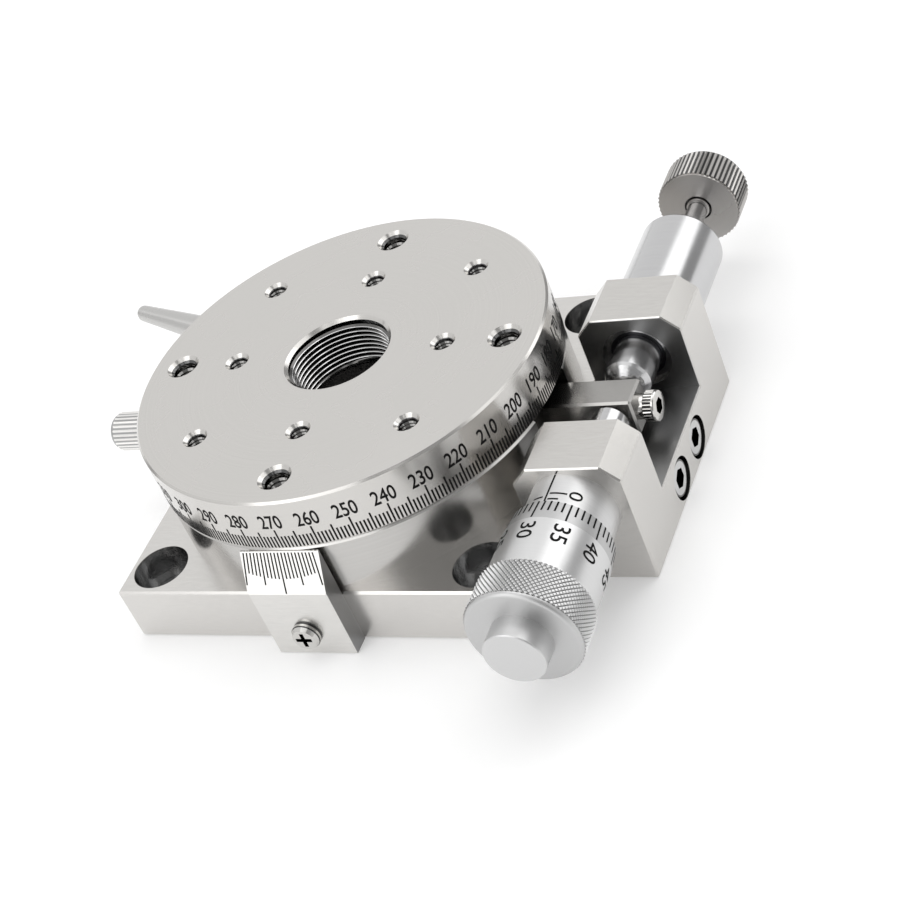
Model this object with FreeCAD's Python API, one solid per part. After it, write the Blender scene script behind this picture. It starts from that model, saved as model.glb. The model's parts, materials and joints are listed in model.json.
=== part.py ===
import FreeCAD, Part
import math
import os

V = FreeCAD.Vector

# Sizes are in millimetres. The origin is on the turning axis at the base's underside.

# Clearances that many pieces share
FIT = 0.02
RUNNING_FIT = 0.05
EDGE_BREAK = 0.3

# Crossed roller bearing
BEARING_OUTER_RADIUS = 25.0
BEARING_BORE_RADIUS = 15.0
BEARING_HEIGHT = 6.0
BEARING_LIP_HEIGHT = 2.3
RACE_GAP = 0.6
ROLLER_RADIUS = 1.5
ROLLER_END_PLAY = 0.08
ROLLER_PLAY = 0.02
ROLLER_COUNT = 24
SPACER_RADIUS = 1.3
SPACER_LENGTH = 1.9
RETAINER_THICKNESS = 0.3
RETAINER_INSET = 2.7
RETAINER_OVERLAP = 1.4

# Screws that more than one piece uses
M25_RADIUS = 1.25
M25_HEAD_RADIUS = 2.25
M25_HEAD_HEIGHT = 2.3
M25_HEX_ACROSS = 2.0
M3_RADIUS = 1.5
M3_HEAD_RADIUS = 2.75
M3_HEAD_HEIGHT = 3.0
M3_HEX_ACROSS = 2.5
HEX_DEPTH = 1.3
SCREW_HOLE_EXTRA = 0.15
HEAD_HOLE_EXTRA = 0.35

# Housing ring round the clamp ring
HOUSING_WALL = 3.95
HOUSING_SCREW_GAP = 0.35
HOUSING_SCREW_EDGE = 1.85
HOUSING_SCREW_ANGLES = (55.0, 112.0, 235.0, 305.0)
HOUSING_SCREW_BITE = 5.0

# Clamp ring with its tangent arm
ARM_LIFT = 0.1
ARM_HEIGHT = 5.7
ARM_FRONT_Y = -1.5
ARM_WIDTH = 5.0
ARM_OVERHANG = 2.75
ARM_ROOT_FILLET = 0.4
ARM_EDGE_BREAK = 0.3
CLAMP_RING_GAP = 0.5
CLAMP_RING_WALL = 5.15
WINDOW_BACK_GAP = 0.38
WINDOW_FRONT_GAP = 5.2
CONTACT_PIN_RADIUS = 1.0
CONTACT_PIN_RECESS = 0.01
WASHER_THICKNESS = 0.95
WASHER_RADIUS = 1.75
ARM_SCREW_HEAD_RADIUS = 2.12
ARM_SCREW_HEAD_HEIGHT = 1.65

# Table hub and the nut that holds the inner race
HUB_BORE_RADIUS = 7.6
HUB_SHOULDER_WALL = 4.2
HUB_SHOULDER_HEIGHT = 0.5
HUB_FLANGE_GAP = 0.1
HUB_FLANGE_THICKNESS = 2.15
HUB_FLANGE_INSET = 0.9
HUB_SCREW_WALL = 0.45
HUB_SCREW_OFFSET_ANGLE = 22.5
HUB_SCREW_BITE = 4.5
HUB_NUT_WALL = 4.0
HUB_NUT_THICKNESS = 1.4
HUB_NUT_PIN_HOLE_RADIUS = 0.9

# Rotary table
TABLE_THICKNESS = 8.1
TABLE_OVERHANG = 0.15
TABLE_GAP = 0.1
TABLE_ANGLE = 2.4
M4_TAP_RADIUS = 1.65
M3_TAP_RADIUS = 1.25
M4_SINK_RADIUS = 2.4
M3_SINK_RADIUS = 1.8
M4_EDGE_DISTANCE = 5.0
M3_CIRCLE_RADIUS = 16.0
M3_SQUARE_HALF = 16.0
CENTRE_THREAD_RADIUS = 7.4
CENTRE_SINK_RADIUS = 7.85

# Base plate
MOUNT_EDGE_DISTANCE = 5.0
MOUNT_HOLE_RADIUS = 2.25
MOUNT_SINK_RADIUS = 4.1
MOUNT_SINK_DEPTH = 5.3
BASE_LIP_WIDTH = 3.0

# Clamp screw of the ring, along the row's X axis
CLAMP_SCREW_RISE = 3.65
CLAMP_PAD_LENGTH = 2.0
CLAMP_KNOB_RADIUS = 2.92
CLAMP_KNOB_STANDOFF = 6.65
CLAMP_KNOB_LENGTH = 6.9
CLAMP_KNOB_ROUND = 0.9
CLAMP_SLOT_EXTRA = 0.35
CLAMP_SLOT_BACK = 4.0
CLAMP_SLOT_FRONT = 0.45

# Locking lever
LEVER_RISE = 3.8
LEVER_DIRECTION = 159.1
LEVER_PIVOT_ANGLE = 142.75
LEVER_LENGTH = 34.35
LEVER_TIP_RADIUS = 1.32
LEVER_ROOT_RADIUS = 2.75
LEVER_NECK_RADIUS = 2.35
LEVER_NECK_LENGTH = 4.5
LEVER_BOSS_RADIUS = 2.65
LEVER_BOSS_OFFSET = 0.5
LEVER_BOSS_HEIGHT = 5.2
LEVER_CAM_GAP = 0.15
LEVER_PIN_RADIUS = 1.0
LEVER_PIN_BITE = 3.6
LEVER_WINDOW_GAP = 0.5
LEVER_WINDOW_RISE = 0.3
LEVER_SWING = 12.0

# Bracket for the micrometer and the spring plunger
DRIVE_STANDOFF = 7.35
DRIVE_RISE = 3.79
BRACKET_WALL = 2.71
BRACKET_TOP_WALL = 1.82
BRACKET_HALF_WIDTH = 19.05
BRACKET_CHAMFER = 2.4
BRACKET_EDGE_BREAK = 0.2
NOTCH_HALF_WIDTH = 9.9
NOTCH_DROP = 0.55
BRACKET_SCREW_HALF_PITCH = 4.0
BRACKET_SCREW_HEIGHT = 3.2
BRACKET_SCREW_BITE = 4.2
BRACKET_SINK_RADIUS = 2.95
BRACKET_SINK_DEPTH = 3.3
STEM_HOLE_RADIUS = 4.79
GRUB_RADIUS = 1.5
GRUB_RECESS = 1.0
GRUB_HEX_ACROSS = 1.5

# Micrometer head
SLEEVE_RADIUS = 5.87
SLEEVE_LENGTH = 14.0
SPINDLE_RADIUS = 2.5
SPINDLE_NOSE_HEIGHT = 1.4
SPINDLE_TAIL_RADIUS = 2.0
CONTACT_GAP = 0.08
THIMBLE_READING = 5.75
THIMBLE_FRONT_RADIUS = 6.76
THIMBLE_RADIUS = 7.06
THIMBLE_BEVEL_LENGTH = 3.1
THIMBLE_PLAIN_LENGTH = 7.4
KNURL_RADIUS = 7.64
KNURL_LENGTH = 5.6
KNURL_CHAMFER = 0.35
THIMBLE_END_ROUND = 0.6
THIMBLE_BORE_CLEARANCE = 0.08
THIMBLE_END_WALL = 3.0
CAP_RADIUS = 4.0
CAP_LENGTH = 3.25
CAP_CHAMFER = 0.12
CAP_SPIGOT_RADIUS = 2.8
CAP_SPIGOT_LENGTH = 1.0

# Spring plunger
BARREL_RADIUS = 5.86
BARREL_LENGTH = 15.2
BARREL_ROUND = 0.4
BARREL_SPIGOT_LENGTH = 8.3
BARREL_BORE_RADIUS = 3.8
BARREL_END_WALL = 2.8
BUSH_LENGTH = 4.0
BUSH_RECESS = 0.1
PLUNGER_RADIUS = 3.2
PLUNGER_NOSE_HEIGHT = 1.8
PLUNGER_HEAD_LENGTH = 18.5
PLUNGER_ROD_RADIUS = 1.45
PLUNGER_NECK_RADIUS = 1.15
KNOB_RADIUS = 6.05
KNOB_LENGTH = 5.8
KNOB_GAP = 9.1
KNOB_CHAMFER = 0.25
KNOB_SOCKET_DEPTH = 3.8
KNOB_BOSS_RADIUS = 1.72
KNOB_BOSS_RISE = 0.3
KNOB_BOSS_ROUND = 0.2
KNOB_RECESS_RADIUS = 2.0
KNOB_RECESS_DEPTH = 0.5
SPRING_WIRE_RADIUS = 0.28
SPRING_RADIUS = 2.1
SPRING_TURNS = 6
SPRING_SEAT_GAP = 0.4

# Vernier plate
VERNIER_X = 0.25
VERNIER_WIDTH = 12.0
VERNIER_THICKNESS = 2.85
VERNIER_BEND_RISE = 2.6
VERNIER_TOP_THICKNESS = 0.2
VERNIER_TOP_GAP = 0.1
VERNIER_FOOT = 0.05
VERNIER_EDGE_BREAK = 0.12
VERNIER_SCREW_HEIGHT = 3.95
VERNIER_SCREW_BITE = 3.8
PAN_HEAD_RADIUS = 2.05
PAN_HEAD_HEIGHT = 1.35
PAN_FACE_RADIUS = 1.65
PAN_CROSS_WIDTH = 0.6
PAN_CROSS_LENGTH = 2.4
PAN_CROSS_DEPTH = 0.9

# Places along the turning axis that follow, from the bottom up
BEARING_BOTTOM = BEARING_LIP_HEIGHT
BEARING_TOP = BEARING_BOTTOM + BEARING_HEIGHT
BEARING_MIDDLE = (BEARING_TOP + BEARING_BOTTOM) / 2
BASE_THICKNESS = BEARING_TOP + RETAINER_THICKNESS
ARM_BOTTOM = BASE_THICKNESS + ARM_LIFT
ARM_TOP = ARM_BOTTOM + ARM_HEIGHT
FLANGE_BOTTOM = ARM_TOP + HUB_FLANGE_GAP
TABLE_UNDERSIDE = FLANGE_BOTTOM + HUB_FLANGE_THICKNESS
STAGE_HEIGHT = TABLE_UNDERSIDE + TABLE_THICKNESS
HOUSING_TOP = TABLE_UNDERSIDE - TABLE_GAP
DRIVE_HEIGHT = ARM_BOTTOM + DRIVE_RISE
CLAMP_SCREW_HEIGHT = ARM_BOTTOM + CLAMP_SCREW_RISE
LEVER_HEIGHT = ARM_BOTTOM + LEVER_RISE
BRACKET_HEIGHT = DRIVE_HEIGHT + STEM_HOLE_RADIUS + BRACKET_TOP_WALL
NOTCH_FLOOR = DRIVE_HEIGHT - STEM_HOLE_RADIUS - NOTCH_DROP
VERNIER_BEND_HEIGHT = BASE_THICKNESS + VERNIER_BEND_RISE

# Radii that follow, from the bearing outwards
ROLLER_CIRCLE_RADIUS = (BEARING_OUTER_RADIUS + BEARING_BORE_RADIUS) / 2
RETAINER_INNER_RADIUS = BEARING_OUTER_RADIUS - RETAINER_INSET
RETAINER_OUTER_RADIUS = BEARING_OUTER_RADIUS + RETAINER_OVERLAP
BASE_LIP_RADIUS = BEARING_OUTER_RADIUS - BASE_LIP_WIDTH
HOUSING_SCREW_CIRCLE_RADIUS = RETAINER_OUTER_RADIUS + M25_RADIUS + HOUSING_SCREW_GAP
HOUSING_RADIUS = HOUSING_SCREW_CIRCLE_RADIUS + HOUSING_SCREW_EDGE
HOUSING_INNER_RADIUS = HOUSING_RADIUS - HOUSING_WALL
CLAMP_RING_RADIUS = HOUSING_INNER_RADIUS - CLAMP_RING_GAP
CLAMP_RING_BORE = CLAMP_RING_RADIUS - CLAMP_RING_WALL
HUB_RADIUS = CLAMP_RING_BORE - RUNNING_FIT
HUB_FLANGE_RADIUS = CLAMP_RING_RADIUS - HUB_FLANGE_INSET
HUB_SHOULDER_RADIUS = BEARING_BORE_RADIUS + HUB_SHOULDER_WALL
HUB_NUT_RADIUS = BEARING_BORE_RADIUS + HUB_NUT_WALL
HUB_NUT_PIN_CIRCLE_RADIUS = BEARING_BORE_RADIUS + HUB_NUT_WALL / 2
HUB_SCREW_CIRCLE_RADIUS = HUB_RADIUS - M25_HEAD_RADIUS - HUB_SCREW_WALL
TABLE_RADIUS = HOUSING_RADIUS + TABLE_OVERHANG
M4_CIRCLE_RADIUS = TABLE_RADIUS - M4_EDGE_DISTANCE
BASE_SIDE = 2 * TABLE_RADIUS
MOUNT_HALF_PITCH = BASE_SIDE / 2 - MOUNT_EDGE_DISTANCE
CLAMP_SLOT_RADIUS = M3_RADIUS - RUNNING_FIT + CLAMP_SLOT_EXTRA
CLAMP_KNOB_START = HOUSING_RADIUS + CLAMP_KNOB_STANDOFF
CLAMP_KNOB_END = CLAMP_KNOB_START + CLAMP_KNOB_LENGTH
LEVER_PIVOT_RADIUS = CLAMP_RING_RADIUS + LEVER_BOSS_RADIUS + LEVER_CAM_GAP
LEVER_PIVOT = V(
    LEVER_PIVOT_RADIUS * math.cos(math.radians(LEVER_PIVOT_ANGLE)),
    LEVER_PIVOT_RADIUS * math.sin(math.radians(LEVER_PIVOT_ANGLE)),
    0,
)

# Places on the bracket and the drive line that follow
BRACKET_FACE_X = BASE_SIDE / 2
DRIVE_X = BRACKET_FACE_X + DRIVE_STANDOFF
BRACKET_END_X = DRIVE_X + STEM_HOLE_RADIUS + BRACKET_WALL
BRACKET_DEPTH = BRACKET_END_X - BRACKET_FACE_X
GRUB_Y = (NOTCH_HALF_WIDTH + BRACKET_HALF_WIDTH) / 2
ARM_BACK_Y = ARM_FRONT_Y + ARM_WIDTH
ARM_END_X = DRIVE_X + ARM_OVERHANG
ARM_MIDDLE_Y = (ARM_FRONT_Y + ARM_BACK_Y) / 2
ARM_MIDDLE_Z = (ARM_TOP + ARM_BOTTOM) / 2
STEM_RADIUS = STEM_HOLE_RADIUS - FIT
SPINDLE_TIP_Y = ARM_FRONT_Y - CONTACT_GAP
THIMBLE_FRONT_Y = -BRACKET_HALF_WIDTH - THIMBLE_READING
KNURL_START_Y = THIMBLE_FRONT_Y - THIMBLE_BEVEL_LENGTH - THIMBLE_PLAIN_LENGTH
THIMBLE_END_Y = KNURL_START_Y - KNURL_LENGTH - KNURL_CHAMFER
BARREL_END_Y = BRACKET_HALF_WIDTH + BARREL_LENGTH
PLUNGER_TIP_Y = ARM_BACK_Y + CONTACT_GAP
PLUNGER_SHOULDER_Y = PLUNGER_TIP_Y + PLUNGER_HEAD_LENGTH
KNOB_FACE_Y = BARREL_END_Y + KNOB_GAP


def polar(radius, degrees, height=0.0):
    angle = math.radians(degrees)
    return V(radius * math.cos(angle), radius * math.sin(angle), height)


def box(x0, x1, y0, y1, z0, z1):
    return Part.makeBox(x1 - x0, y1 - y0, z1 - z0, V(x0, y0, z0))


def lathe(profile, centre=V(0, 0, 0), axis=V(0, 0, 1)):
    """Turn a closed profile of (radius, distance along the axis) points."""
    points = [V(radius, 0, along) for radius, along in profile]
    wire = Part.makePolygon(points + points[:1])
    solid = Part.Face(wire).revolve(V(0, 0, 0), V(0, 0, 1), 360)
    solid.Placement = FreeCAD.Placement(centre, FreeCAD.Rotation(V(0, 0, 1), axis))
    return Part.Solid(solid.Shells[0]) if solid.ShapeType != "Solid" else solid


def tube(inner, outer, z0, z1):
    return lathe([(inner, z0), (outer, z0), (outer, z1), (inner, z1)])


def drive_lathe(profile):
    """Turn a profile about the line that the micrometer and the plunger share."""
    return lathe(profile, V(DRIVE_X, 0, DRIVE_HEIGHT), V(0, 1, 0))


def drilled(radius, sink, depth, place):
    """A hole from above with a 45 degree countersink, as a cutting tool."""
    cut = Part.makeCylinder(radius, depth, place - V(0, 0, depth))
    cone_height = sink - radius
    cone = Part.makeCone(radius, sink, cone_height, place - V(0, 0, cone_height))
    return cut.fuse(cone)


def hex_socket(across, depth, place, axis):
    corner = across / math.sqrt(3)
    points = [polar(corner, 60 * step) for step in range(7)]
    prism = Part.Face(Part.makePolygon(points)).extrude(V(0, 0, -depth))
    prism.Placement = FreeCAD.Placement(place, FreeCAD.Rotation(V(0, 0, 1), axis))
    return prism


def cap_screw(seat, axis, radius, length, head_radius, head_height, across):
    """A socket head screw: seat is the point under its head, axis points out of it."""
    edge = head_radius * 0.1
    profile = [
        (0, -length),
        (radius, -length),
        (radius, 0),
        (head_radius, 0),
        (head_radius, head_height - edge),
        (head_radius - edge, head_height),
        (0, head_height),
    ]
    screw = lathe(profile, seat, axis)
    return screw.cut(hex_socket(across, HEX_DEPTH, seat + axis * head_height, axis))


def dome(radius, height, tip_y, toward):
    """Points of a round nose, from its tip to its rim, for drive_lathe."""
    ball = (radius * radius + height * height) / (2 * height)
    spread = math.asin(radius / ball)
    points = []
    steps = 8
    for step in range(steps + 1):
        angle = spread * step / steps
        points.append((ball * math.sin(angle), tip_y + toward * ball * (1 - math.cos(angle))))
    return points


def lies_at(edge, axis, places):
    """Whether an edge lies in one of the planes across an axis X, Y or Z at the given places."""
    low = getattr(edge.BoundBox, axis + "Min")
    high = getattr(edge.BoundBox, axis + "Max")
    return any(abs(low - place) < 0.001 and abs(high - place) < 0.001 for place in places)


def compound(shapes):
    return Part.makeCompound(shapes)


def make_rotary_table():
    radius = TABLE_RADIUS
    table = lathe([
        (CENTRE_THREAD_RADIUS, TABLE_UNDERSIDE),
        (radius - EDGE_BREAK, TABLE_UNDERSIDE),
        (radius, TABLE_UNDERSIDE + EDGE_BREAK),
        (radius, STAGE_HEIGHT - EDGE_BREAK),
        (radius - EDGE_BREAK, STAGE_HEIGHT),
        (CENTRE_SINK_RADIUS, STAGE_HEIGHT),
        (CENTRE_THREAD_RADIUS, STAGE_HEIGHT - (CENTRE_SINK_RADIUS - CENTRE_THREAD_RADIUS)),
    ])
    square_radius = M3_SQUARE_HALF * math.sqrt(2)
    for quarter in range(4):
        turn = TABLE_ANGLE + 90 * quarter
        large = polar(M4_CIRCLE_RADIUS, turn, STAGE_HEIGHT)
        table = table.cut(drilled(M4_TAP_RADIUS, M4_SINK_RADIUS, TABLE_THICKNESS, large))
        small = polar(M3_CIRCLE_RADIUS, turn, STAGE_HEIGHT)
        table = table.cut(drilled(M3_TAP_RADIUS, M3_SINK_RADIUS, TABLE_THICKNESS, small))
        corner = polar(square_radius, turn + 45, STAGE_HEIGHT)
        table = table.cut(drilled(M3_TAP_RADIUS, M3_SINK_RADIUS, TABLE_THICKNESS, corner))
        seat = polar(HUB_SCREW_CIRCLE_RADIUS, turn + HUB_SCREW_OFFSET_ANGLE, TABLE_UNDERSIDE)
        bite = HUB_SCREW_BITE + FIT
        table = table.cut(Part.makeCylinder(M25_RADIUS + FIT, bite, seat))
    return table


def hub_screw_seats():
    seat_height = BEARING_TOP + HUB_SHOULDER_HEIGHT + M25_HEAD_HEIGHT + FIT
    seats = []
    for quarter in range(4):
        turn = TABLE_ANGLE + 90 * quarter + HUB_SCREW_OFFSET_ANGLE
        seats.append(polar(HUB_SCREW_CIRCLE_RADIUS, turn, seat_height))
    return seats


def make_table_hub():
    neck = BEARING_BORE_RADIUS - FIT
    bottom = BEARING_BOTTOM - HUB_NUT_THICKNESS
    hub = lathe([
        (HUB_BORE_RADIUS, bottom),
        (neck, bottom),
        (neck, BEARING_TOP),
        (HUB_SHOULDER_RADIUS, BEARING_TOP),
        (HUB_SHOULDER_RADIUS, BEARING_TOP + HUB_SHOULDER_HEIGHT),
        (HUB_RADIUS, BEARING_TOP + HUB_SHOULDER_HEIGHT),
        (HUB_RADIUS, FLANGE_BOTTOM),
        (HUB_FLANGE_RADIUS, FLANGE_BOTTOM),
        (HUB_FLANGE_RADIUS, TABLE_UNDERSIDE),
        (HUB_BORE_RADIUS, TABLE_UNDERSIDE),
    ])
    for seat in hub_screw_seats():
        shank = Part.makeCylinder(M25_RADIUS + SCREW_HOLE_EXTRA, STAGE_HEIGHT, seat)
        head_depth = seat.z - BEARING_TOP
        foot = seat - V(0, 0, head_depth)
        hub = hub.cut(shank).cut(Part.makeCylinder(M25_HEAD_RADIUS + FIT, head_depth, foot))
    return hub


def make_hub_screws():
    length = TABLE_UNDERSIDE + HUB_SCREW_BITE
    screws = []
    for seat in hub_screw_seats():
        reach = length - seat.z
        screws.append(cap_screw(seat, V(0, 0, -1), M25_RADIUS, reach, M25_HEAD_RADIUS,
                                M25_HEAD_HEIGHT, M25_HEX_ACROSS))
    return compound(screws)


def make_hub_nut():
    nut = tube(BEARING_BORE_RADIUS, HUB_NUT_RADIUS, BEARING_BOTTOM - HUB_NUT_THICKNESS,
               BEARING_BOTTOM)
    for quarter in range(4):
        foot = polar(HUB_NUT_PIN_CIRCLE_RADIUS, 45 + 90 * quarter,
                     BEARING_BOTTOM - HUB_NUT_THICKNESS)
        nut = nut.cut(Part.makeCylinder(HUB_NUT_PIN_HOLE_RADIUS, HUB_NUT_THICKNESS, foot))
    return nut


def roller_groove():
    """The square groove that the two races share, standing on its corner."""
    half = (ROLLER_RADIUS + ROLLER_PLAY) * math.sqrt(2)
    middle = ROLLER_CIRCLE_RADIUS
    return lathe([
        (middle - half, BEARING_MIDDLE),
        (middle, BEARING_MIDDLE - half),
        (middle + half, BEARING_MIDDLE),
        (middle, BEARING_MIDDLE + half),
    ])


def make_inner_race():
    outer = ROLLER_CIRCLE_RADIUS - RACE_GAP / 2
    return tube(BEARING_BORE_RADIUS, outer, BEARING_BOTTOM, BEARING_TOP).cut(roller_groove())


def make_outer_race(low, high):
    inner = ROLLER_CIRCLE_RADIUS + RACE_GAP / 2
    return tube(inner, BEARING_OUTER_RADIUS, low, high).cut(roller_groove())


def make_crossed_rollers():
    """Rollers lean inward and outward by turns, so one ring takes load from every side."""
    length = 2 * (ROLLER_RADIUS - ROLLER_END_PLAY)
    rollers = []
    for index in range(ROLLER_COUNT):
        lean = 45 if index % 2 == 0 else -45
        roller = Part.makeCylinder(ROLLER_RADIUS, length, V(0, 0, -length / 2))
        roller.rotate(V(0, 0, 0), V(0, 1, 0), lean)
        roller.translate(V(ROLLER_CIRCLE_RADIUS, 0, BEARING_MIDDLE))
        roller.rotate(V(0, 0, 0), V(0, 0, 1), 360 * index / ROLLER_COUNT)
        rollers.append(roller)
    return compound(rollers)


def make_roller_spacers():
    spacers = []
    for index in range(ROLLER_COUNT):
        start = V(ROLLER_CIRCLE_RADIUS, -SPACER_LENGTH / 2, BEARING_MIDDLE)
        spacer = Part.makeCylinder(SPACER_RADIUS, SPACER_LENGTH, start, V(0, 1, 0))
        spacer.rotate(V(0, 0, 0), V(0, 0, 1), 360 * (index + 0.5) / ROLLER_COUNT)
        spacers.append(spacer)
    return compound(spacers)


def make_bearing_retainer():
    return tube(RETAINER_INNER_RADIUS, RETAINER_OUTER_RADIUS, BEARING_TOP, BASE_THICKNESS)


def bracket_screw_rows():
    return (-BRACKET_SCREW_HALF_PITCH, BRACKET_SCREW_HALF_PITCH)


def make_base_plate():
    half = BASE_SIDE / 2
    plate = box(-half, half, -half, half, 0, BASE_THICKNESS)
    plate = plate.makeChamfer(EDGE_BREAK, plate.Edges)
    plate = plate.cut(Part.makeCylinder(BASE_LIP_RADIUS, BASE_THICKNESS))
    seat = Part.makeCylinder(BEARING_OUTER_RADIUS + FIT, BASE_THICKNESS, V(0, 0, BEARING_BOTTOM))
    recess = Part.makeCylinder(RETAINER_OUTER_RADIUS + FIT, BASE_THICKNESS, V(0, 0, BEARING_TOP))
    plate = plate.cut(seat).cut(recess)
    for x in (-MOUNT_HALF_PITCH, MOUNT_HALF_PITCH):
        for y in (-MOUNT_HALF_PITCH, MOUNT_HALF_PITCH):
            plate = plate.cut(Part.makeCylinder(MOUNT_HOLE_RADIUS, BASE_THICKNESS, V(x, y, 0)))
            ledge = V(x, y, BASE_THICKNESS - MOUNT_SINK_DEPTH)
            plate = plate.cut(Part.makeCylinder(MOUNT_SINK_RADIUS, MOUNT_SINK_DEPTH, ledge))
    for angle in HOUSING_SCREW_ANGLES:
        foot = polar(HOUSING_SCREW_CIRCLE_RADIUS, angle)
        hole = Part.makeCylinder(M25_RADIUS + SCREW_HOLE_EXTRA, BASE_THICKNESS, foot)
        sink = Part.makeCylinder(M25_HEAD_RADIUS + HEAD_HOLE_EXTRA, M25_HEAD_HEIGHT + EDGE_BREAK,
                                 foot)
        plate = plate.cut(hole).cut(sink)
    for y in bracket_screw_rows():
        bite = BRACKET_SCREW_BITE + FIT
        start = V(half - bite, y, BRACKET_SCREW_HEIGHT)
        plate = plate.cut(Part.makeCylinder(M3_RADIUS + FIT, bite, start, V(1, 0, 0)))
    vernier_hole = V(VERNIER_X, -half, VERNIER_SCREW_HEIGHT)
    bite = VERNIER_SCREW_BITE + FIT
    plate = plate.cut(Part.makeCylinder(M25_RADIUS + FIT, bite, vernier_hole, V(0, 1, 0)))
    pin_foot = LEVER_PIVOT + V(0, 0, BASE_THICKNESS - LEVER_PIN_BITE)
    return plate.cut(Part.makeCylinder(LEVER_PIN_RADIUS + FIT, LEVER_PIN_BITE, pin_foot))


def lever_window():
    """Room for the lever and its boss in the housing's wall, over the whole swing."""
    half_height = LEVER_BOSS_HEIGHT / 2 + LEVER_WINDOW_RISE
    low = LEVER_HEIGHT - half_height
    high = LEVER_HEIGHT + half_height
    reach = LEVER_BOSS_RADIUS + LEVER_WINDOW_GAP
    centre = LEVER_PIVOT + V(0, 0, low)
    room = Part.makeCylinder(reach + LEVER_BOSS_OFFSET / 2, high - low, centre)
    for swing in (-LEVER_SWING, 0, LEVER_SWING):
        slot = box(0, HOUSING_WALL + reach, -reach, reach, low, high)
        slot.rotate(V(0, 0, 0), V(0, 0, 1), LEVER_DIRECTION + swing)
        slot.translate(LEVER_PIVOT)
        room = room.fuse(slot)
    return room


def clamp_screw_slot():
    low = CLAMP_SCREW_HEIGHT - CLAMP_SLOT_RADIUS
    high = CLAMP_SCREW_HEIGHT + CLAMP_SLOT_RADIUS
    slot = box(-HOUSING_RADIUS - 1, -HOUSING_INNER_RADIUS + 1, -CLAMP_SLOT_FRONT,
               CLAMP_SLOT_BACK, low, high)
    for y in (-CLAMP_SLOT_FRONT, CLAMP_SLOT_BACK):
        end = V(-HOUSING_RADIUS - 1, y, CLAMP_SCREW_HEIGHT)
        slot = slot.fuse(Part.makeCylinder(CLAMP_SLOT_RADIUS, HOUSING_WALL + 2, end, V(1, 0, 0)))
    return slot


def make_housing_ring():
    ring = lathe([
        (HOUSING_INNER_RADIUS, BASE_THICKNESS),
        (HOUSING_RADIUS, BASE_THICKNESS),
        (HOUSING_RADIUS, HOUSING_TOP - EDGE_BREAK),
        (HOUSING_RADIUS - EDGE_BREAK, HOUSING_TOP),
        (HOUSING_INNER_RADIUS, HOUSING_TOP),
    ])
    arm_window = box(CLAMP_RING_BORE, HOUSING_RADIUS + 1, ARM_FRONT_Y - WINDOW_FRONT_GAP,
                     ARM_BACK_Y + WINDOW_BACK_GAP, BASE_THICKNESS, HOUSING_TOP)
    ring = ring.cut(arm_window).cut(clamp_screw_slot()).cut(lever_window())
    pin = LEVER_PIVOT + V(0, 0, BASE_THICKNESS)
    ring = ring.cut(Part.makeCylinder(LEVER_PIN_RADIUS + FIT, HOUSING_TOP - BASE_THICKNESS, pin))
    for angle in HOUSING_SCREW_ANGLES:
        foot = polar(HOUSING_SCREW_CIRCLE_RADIUS, angle, BASE_THICKNESS)
        ring = ring.cut(Part.makeCylinder(M25_RADIUS + FIT, HOUSING_SCREW_BITE + FIT, foot))
    return ring


def make_housing_screws():
    seat_height = M25_HEAD_HEIGHT + EDGE_BREAK
    length = BASE_THICKNESS - seat_height + HOUSING_SCREW_BITE
    screws = []
    for angle in HOUSING_SCREW_ANGLES:
        seat = polar(HOUSING_SCREW_CIRCLE_RADIUS, angle, seat_height)
        screws.append(cap_screw(seat, V(0, 0, -1), M25_RADIUS, length, M25_HEAD_RADIUS,
                                M25_HEAD_HEIGHT, M25_HEX_ACROSS))
    return compound(screws)


def make_tangent_arm():
    ring = tube(CLAMP_RING_BORE, CLAMP_RING_RADIUS, ARM_BOTTOM, ARM_TOP)
    bar = box(CLAMP_RING_BORE, ARM_END_X, ARM_FRONT_Y, ARM_BACK_Y, ARM_BOTTOM, ARM_TOP)
    bar = bar.cut(Part.makeCylinder(CLAMP_RING_BORE, STAGE_HEIGHT))
    arm = ring.fuse(bar).removeSplitter()
    roots = []
    for edge in arm.Edges:
        middle = edge.CenterOfMass
        on_ring = abs(math.hypot(middle.x, middle.y) - CLAMP_RING_RADIUS) < 0.01
        upright = abs(edge.BoundBox.ZLength - ARM_HEIGHT) < 0.01
        if on_ring and upright and middle.x > 0:
            roots.append(edge)
    arm = arm.makeFillet(min(ARM_ROOT_FILLET, CLAMP_RING_GAP), roots)
    bar_edges = []
    for edge in arm.Edges:
        level = lies_at(edge, "Z", (ARM_BOTTOM, ARM_TOP)) and edge.BoundBox.XMax > BRACKET_FACE_X
        if level or lies_at(edge, "X", (ARM_END_X,)):
            bar_edges.append(edge)
    arm = arm.makeChamfer(ARM_EDGE_BREAK, bar_edges)
    pin = V(DRIVE_X, ARM_FRONT_Y, DRIVE_HEIGHT)
    width = ARM_BACK_Y - ARM_FRONT_Y
    arm = arm.cut(Part.makeCylinder(CONTACT_PIN_RADIUS + FIT, width, pin, V(0, 1, 0)))
    tip = V(DRIVE_X, ARM_MIDDLE_Y, ARM_MIDDLE_Z)
    arm = arm.cut(Part.makeCylinder(M25_RADIUS + FIT, ARM_END_X - DRIVE_X, tip, V(1, 0, 0)))
    hole = V(-CLAMP_RING_RADIUS - 1, 0, CLAMP_SCREW_HEIGHT)
    depth = CLAMP_RING_RADIUS - CLAMP_RING_BORE + 2
    return arm.cut(Part.makeCylinder(M3_RADIUS, depth, hole, V(1, 0, 0)))


def make_contact_pin():
    start = V(DRIVE_X, ARM_FRONT_Y + CONTACT_PIN_RECESS, DRIVE_HEIGHT)
    length = ARM_BACK_Y - ARM_FRONT_Y - 2 * CONTACT_PIN_RECESS
    return Part.makeCylinder(CONTACT_PIN_RADIUS, length, start, V(0, 1, 0))


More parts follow.
